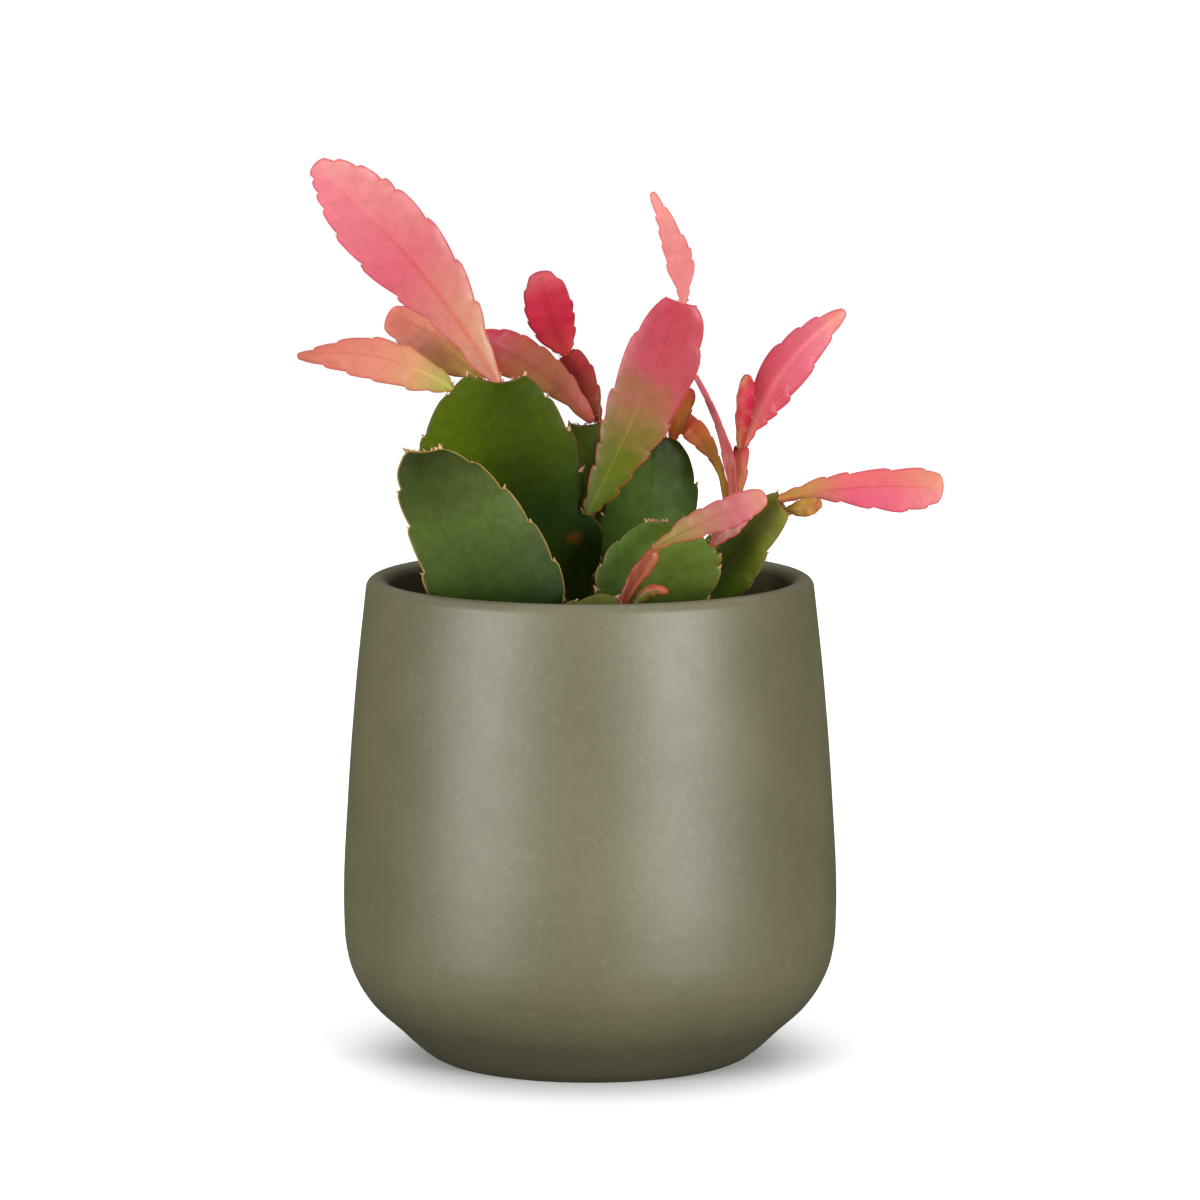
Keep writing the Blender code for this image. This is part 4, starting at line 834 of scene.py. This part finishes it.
def skinMaterial(stem):
    material, shader, coords = newMaterial(stem["node"] + "_skin", skinGrain["roughLow"], stem["shine"])
    along, across, fromEdge, fromRib = [
        addNode('ShaderNodeAttribute', {}, attribute_name=label)["Fac"]
        for label in ("along", "across", "fromEdge", "fromRib")]
    clouds = grain(coords, skinGrain["clouds"])
    sloped = plus(swing(clouds, stem["drift"]), times(across, stem["colourSlope"]))
    shifted = plus(along, sloped)
    outward = calc('ABSOLUTE', across)

    # colour along the stem, with a tint for each half
    soft = stem["tintSoft"]
    tint = tinted(ramp(across, -soft, soft), stem["leftTint"], stem["rightTint"])
    colour = mix(1.0, colourRamp(shifted, stem["skin"]), tint, 'MULTIPLY')

    # painted light and shade by side, painted shade toward the middle, and own tone in mottles and fibres
    side = ramp(across, -0.5, 0.5, *stem["sideTone"])
    centre = ramp(outward, 0.05, 0.85, stem["centreTone"], 1.0)
    mottle = evenRamp(grain(coords, skinGrain["mottle"], 6.0, 0.65), stem["mottle"])
    strand = feed('ShaderNodeCombineXYZ', {
        "X": times(fromRib, skinGrain["fibreAcross"]), "Z": calc('SIGN', across),
        "Y": times(along, stem["length"] * skinGrain["fibreAlong"])})
    fibre = evenRamp(grain(strand, skinGrain["fibre"], 4.0, 0.6),
                     skinGrain["fibreTone"] * stem["fibre"])
    colour = mix(1.0, colour, grey(times(side, centre, mottle, fibre)), 'MULTIPLY')

    # veins from the midrib to the notches
    wavy = plus(times(outward, skinGrain["veinLean"]), shifted)
    ribs = calc('PINGPONG', times(wavy, stem["teeth"] * 2.0), 0.5)
    veins = times(ramp(ribs, 0.02, 0.16, 1.0, 0.0), ramp(fromEdge, 0.3, 2.5))
    colour = mix(times(veins, stem["veins"]), colour, screen(stem["vein"]))

    # midrib
    turn = ramp(shifted, stem["midribTurn"] - 0.15, stem["midribTurn"] + 0.15)
    ribTone = tinted(turn, stem["midribLow"], stem["midribHigh"])
    ribWidth = times(ramp(along, 0.0, 0.8, 1.5, 0.7), stem["midribWidth"])
    midrib = times(ramp(calc('DIVIDE', fromRib, ribWidth), 0.15, 1.0, stem["midribShow"], 0.0),
                   ramp(along, 0.8, 0.97, 1.0, 0.2))
    colour = mix(midrib, colour, mix(1.0, colour, ribTone, 'MULTIPLY'))

    # margin line and scars
    uneven = plus(fromEdge, times(clouds, 0.3))
    margin = ramp(uneven, 0.22, stem["marginWidth"], stem["marginShow"], 0.0)
    colour = mix(margin, colour, screen(stem["margin"]))
    for t, a, radius, markColour, show in stem["marks"]:
        apart = measure('DISTANCE', coords, tuple(stemPoint(stem, t, a) * mm))
        ragged = times(calc('SUBTRACT', mottle, 1.0), skinGrain["raggedness"])
        mark = ramp(plus(apart, ragged), 0.3 * radius * mm, radius * mm, show, 0.0)
        colour = mix(mark, colour, screen(markColour))

    gloss = ramp(grain(coords, skinGrain["gloss"]), 0.3, 0.7,
                 skinGrain["roughLow"], skinGrain["roughHigh"])
    relief = calc('SUBTRACT', grain(coords, skinGrain["relief"], 4.0, 0.55),
                  times(veins, skinGrain["veinRelief"]))
    slow = bump(0.2, 0.0006, relief)
    connect(shader, {
        "Base Color": colour, "Roughness": gloss,
        "Normal": bump(0.18, 0.0002, grain(coords, skinGrain["fine"]), slow),
        "Subsurface Weight": stem["glow"], "Subsurface Radius": skinGrain["glowColours"],
        "Subsurface Scale": skinGrain["glowDepth"] * mm})
    return material


grown = {}
faceCount = 0
for given in stems:
    stem = placeStem(given, grown)
    grown[stem["node"]] = stem
    piece = newPiece(stem["node"] + "_blade", bladeMesh(stem))
    piece.data.materials.append(skinMaterial(stem))
    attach(piece, "root")
    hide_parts(stem["node"])
    faceCount += len(piece.data.polygons)
print("stems grown:", len(grown), "with", faceCount, "faces")


# scales and bristles in the notches, round the joints and along the tops

areoles = {
    "tipShare": 0.08, "sunkShare": 0.15, "padTop": (-0.95, -0.7, -0.45, -0.15, 0.15, 0.45, 0.7, 0.95),
    "shootTop": (-0.9, 0.9), "smallTop": 2.0, "innerTop": 0.8,
    "jointTurns": (20, 75, 140, 200, 260, 320), "jointSize": 0.42, "jointThick": 0.75, "jointWide": 1.25,
    "jointBelow": 0.35, "notchSunk": 0.75, "notchBelow": 0.5, "topBelow": 0.4,
    "scales": {"Length": 1.7, "Width": 0.6, "Thick": 0.17, "Sides": 8, "Steps": 3, "Count": 2,
               "Spread": 0.42, "Seed": 6},
    "bristles": {"Length": 1.2, "Width": 0.03, "Thick": 0.03, "Sides": 4, "Steps": 2, "Count": 3,
                 "Spread": 0.7, "Seed": 8},
    "scaleColours": [(0, 110, 76, 48), (0.5, 136, 98, 68), (1, 158, 118, 92)],
    "scaleStreak": (92, 52, 34), "bristleColour": (170, 158, 140), "bristleAged": (140, 112, 84),
}


def areoleMaterials():
    scale, shader, coords = newMaterial("areoleScale", 0.5, 0.4)
    tone = ramp(grain(coords, 130.0, 2.0), 0.3, 0.7)
    streaks = ramp(grain(coords, 2200.0), 0.4, 0.7, 0.0, 0.35)
    colour = mix(streaks, colourRamp(tone, areoles["scaleColours"]), screen(areoles["scaleStreak"]))
    connect(shader, {"Base Color": colour})
    bristle, shader, coords = newMaterial("areoleBristle", 0.6, 0.3)
    aged = ramp(grain(coords, 300.0, 2.0), 0.35, 0.7)
    colour = mix(aged, screen(areoles["bristleColour"]), screen(areoles["bristleAged"]))
    connect(shader, {"Base Color": colour})
    return scale, bristle


def thornTree():  # a few tapered thorns on every point, each turned a little its own way
    given = newTree("thorns", {
        "Length": 'Float', "Width": 'Float', "Thick": 'Float', "Sides": 'Int', "Steps": 'Int',
        "Count": 'Int', "Spread": 'Float', "Seed": 'Int'})

    def pointValue(label, kind):
        return feed('GeometryNodeInputNamedAttribute', {"Name": label}, data_type=kind)

    def limit(way):
        sockets = {0: (way, way, way), 3: given["Spread"]}
        return feed('ShaderNodeVectorMath', sockets, operation='SCALE')

    cone = addNode('GeometryNodeMeshCone', {
        "Vertices": given["Sides"], "Side Segments": given["Steps"], "Fill Segments": 1,
        "Radius Top": areoles["tipShare"], "Radius Bottom": 1.0, "Depth": 1.0})["Mesh"]
    size = feed('ShaderNodeCombineXYZ', {
        "X": given["Width"], "Y": given["Thick"], "Z": given["Length"]})
    sunk = feed('ShaderNodeCombineXYZ', {"Z": times(given["Length"], -areoles["sunkShare"])})
    thorn = feed('GeometryNodeTransform', {"Geometry": cone, "Scale": size, "Translation": sunk})
    tufts = feed('GeometryNodeDuplicateElements', {
        "Geometry": given["Geometry"], "Amount": given["Count"]}, domain='POINT')
    aim = feed('FunctionNodeAxesToRotation', {
        "Primary Axis": pointValue("outward", 'FLOAT_VECTOR'),
        "Secondary Axis": pointValue("facing", 'FLOAT_VECTOR')}, primary_axis='Z', secondary_axis='Y')
    turn = feed('FunctionNodeRandomValue', {
        0: limit(-1.0), 1: limit(1.0), "Seed": given["Seed"]}, data_type='FLOAT_VECTOR')
    turned = feed('FunctionNodeRotateRotation', {"Rotation": aim, "Rotate By": turn},
                  rotation_space='LOCAL')
    vary = addNode('FunctionNodeRandomValue', {
        2: 0.75, 3: 1.25, "Seed": plus(given["Seed"], 7)}, data_type='FLOAT')[1]
    placed = feed('GeometryNodeInstanceOnPoints', {
        "Points": tufts, "Instance": feed('GeometryNodeSetShadeSmooth', {"Geometry": thorn}),
        "Rotation": turned, "Scale": times(vary, pointValue("size", 'FLOAT'))})
    return finishTree(placed, given)


def areolePoints(stem):  # (place, outward, facing, size) in every notch, round the joint and on the top
    found = []
    for side in ("left", "right"):
        for number, t in list(enumerate(stem["notches"][side]))[1:]:
            place, outward = seatOf(stem, side, number)
            along, across, out = stemFrame(stem, t)
            full = smoothValue(stem[side], t)
            sunk = notchDepth(stem, side, number, full) * areoles["notchSunk"]
            place = place - outward * sunk - along * areoles["notchBelow"]
            size = stem["scaleSize"] * min(1.0, 0.3 + full / 13)
            found.append((place, (outward * 0.45 + along).normalized(), out, size))
    if "on" in stem:
        along, across, out = stemFrame(stem, 0.0)
        for lean, reach in map(circle, areoles["jointTurns"]):
            around = across * lean + out * reach
            place = (stem["foot"] + across * lean * stem["right"][0][1] * areoles["jointWide"]
                     + out * reach * areoles["jointThick"] - along * areoles["jointBelow"])
            found.append((place, (along * 0.6 + around * 0.8).normalized(), around, areoles["jointSize"]))
    along, across, out = stemFrame(stem, 1.0)
    width = smoothValue(stem["right"], 1.0)
    spots = areoles["padTop" if stem["slot"].endswith("pad") else "shootTop"]
    for spot in spots if width > areoles["smallTop"] else (0.0,):
        size = stem["scaleSize"] * min(1.0, 0.4 + width / 8)
        size *= areoles["innerTop"] if abs(spot) < 0.9 else 1.0
        aim = (along + across * spot * 0.45).normalized()
        found.append((topPoint(stem, spot) - along * areoles["topBelow"], aim, out, size))
    return found


places, outwards, facings, scaling = zip(*[point for stem in grown.values() for point in areolePoints(stem)])
mesh = bpy.data.meshes.new("areolePoints")
mesh.from_pydata([place * mm for place in places], [], [])
for label, vectors in (("outward", outwards), ("facing", facings)):
    layer = mesh.attributes.new(label, 'FLOAT_VECTOR', 'POINT')
    layer.data.foreach_set("vector", [value for vector in vectors for value in vector])
mesh.attributes.new("size", 'FLOAT', 'POINT').data.foreach_set("value", scaling)
thorns = thornTree()
for kind, finish in zip(("scales", "bristles"), areoleMaterials()):
    values = {label: value * mm if label in ("Length", "Width", "Thick") else value
              for label, value in areoles[kind].items()}
    source = newPiece("areolePoints", mesh.copy())
    piece = runTree("areole_" + kind, source, thorns, {**values, "Finish": finish})
    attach(piece, "root")
    print("areole", kind + ":", len(piece.data.polygons), "faces on", len(places), "points")


# floor, light and camera

studio = {
    # the floor's near and far values paint light onto the distant floor so it reads white
    "floorSize": 30.0, "floorNear": 0.8, "floorFar": 0.98, "floorReach": (0.35, 2.5), "worldStrength": 0.08,
    "overheadStrength": 3.1, "overheadAngle": 100,
    "lights": [
        {"name": "softLeft", "at": (-1.15, -0.96, 0.28), "size": (0.8, 0.55), "power": 31.0},
        {"name": "softRight", "at": (1.0, -1.12, 0.28), "size": (0.8, 0.55), "power": 36.0},
        {"name": "softBehind", "at": (0.0, 1.3, 0.8), "size": (1.4, 0.5), "power": 12.0},
    ],
    "aim": (0.0, 0.0, 0.16), "camera": (0.0026, -1.615, 0.337), "tilt": 7.64, "lens": 186.29, "farEnd": 60.0,
}

floorMesh = bpy.data.meshes.new("floor")
half = studio["floorSize"] / 2
corners = [(-half, -half, 0), (half, -half, 0), (half, half, 0), (-half, half, 0)]
floorMesh.from_pydata(corners, [], [(0, 1, 2, 3)])
floor = newPiece("floor", floorMesh)
floorMaterial, shader, coords = newMaterial("paleFloor", 0.9, 0.1)
# painted light: the floor grows paler away from the pot, standing in for light that falls off there
paintedFloorLight = ramp(measure('LENGTH', coords), *studio["floorReach"], studio["floorNear"], studio["floorFar"])
connect(shader, {"Base Color": grey(paintedFloorLight)})
floorMesh.materials.append(floorMaterial)
floor.visible_glossy = False

for light in studio["lights"]:
    data = bpy.data.lights.new(light["name"], 'AREA')
    data.shape = 'RECTANGLE'
    data.size, data.size_y = light["size"]
    data.energy = light["power"]
    lamp = newPiece(light["name"], data)
    lamp.location = light["at"]
    lamp.visible_glossy = light["name"] != "softBehind"  # it fills the back without edging the front
    lamp.rotation_euler = (Vector(studio["aim"]) - lamp.location).to_track_quat('-Z', 'Y').to_euler()

overhead = bpy.data.lights.new("overhead", 'SUN')
overhead.energy = studio["overheadStrength"]
overhead.angle = math.radians(studio["overheadAngle"])
newPiece("overhead", overhead)

world = bpy.data.worlds.new("studio")
world.use_nodes = True
backdrop = {"Color": (1.0, 1.0, 1.0, 1.0), "Strength": studio["worldStrength"]}
connect(world.node_tree.nodes["Background"], backdrop)
bpy.context.scene.world = world
bpy.context.scene.view_settings.view_transform = 'Standard'

camera = newPiece("camera", bpy.data.cameras.new("camera"))
camera.location = studio["camera"]
camera.data.lens = studio["lens"]
camera.data.clip_end = studio["farEnd"]
camera.rotation_euler = (math.radians(90 - studio["tilt"]), 0.0, 0.0)
bpy.context.scene.camera = camera
print("studio set")
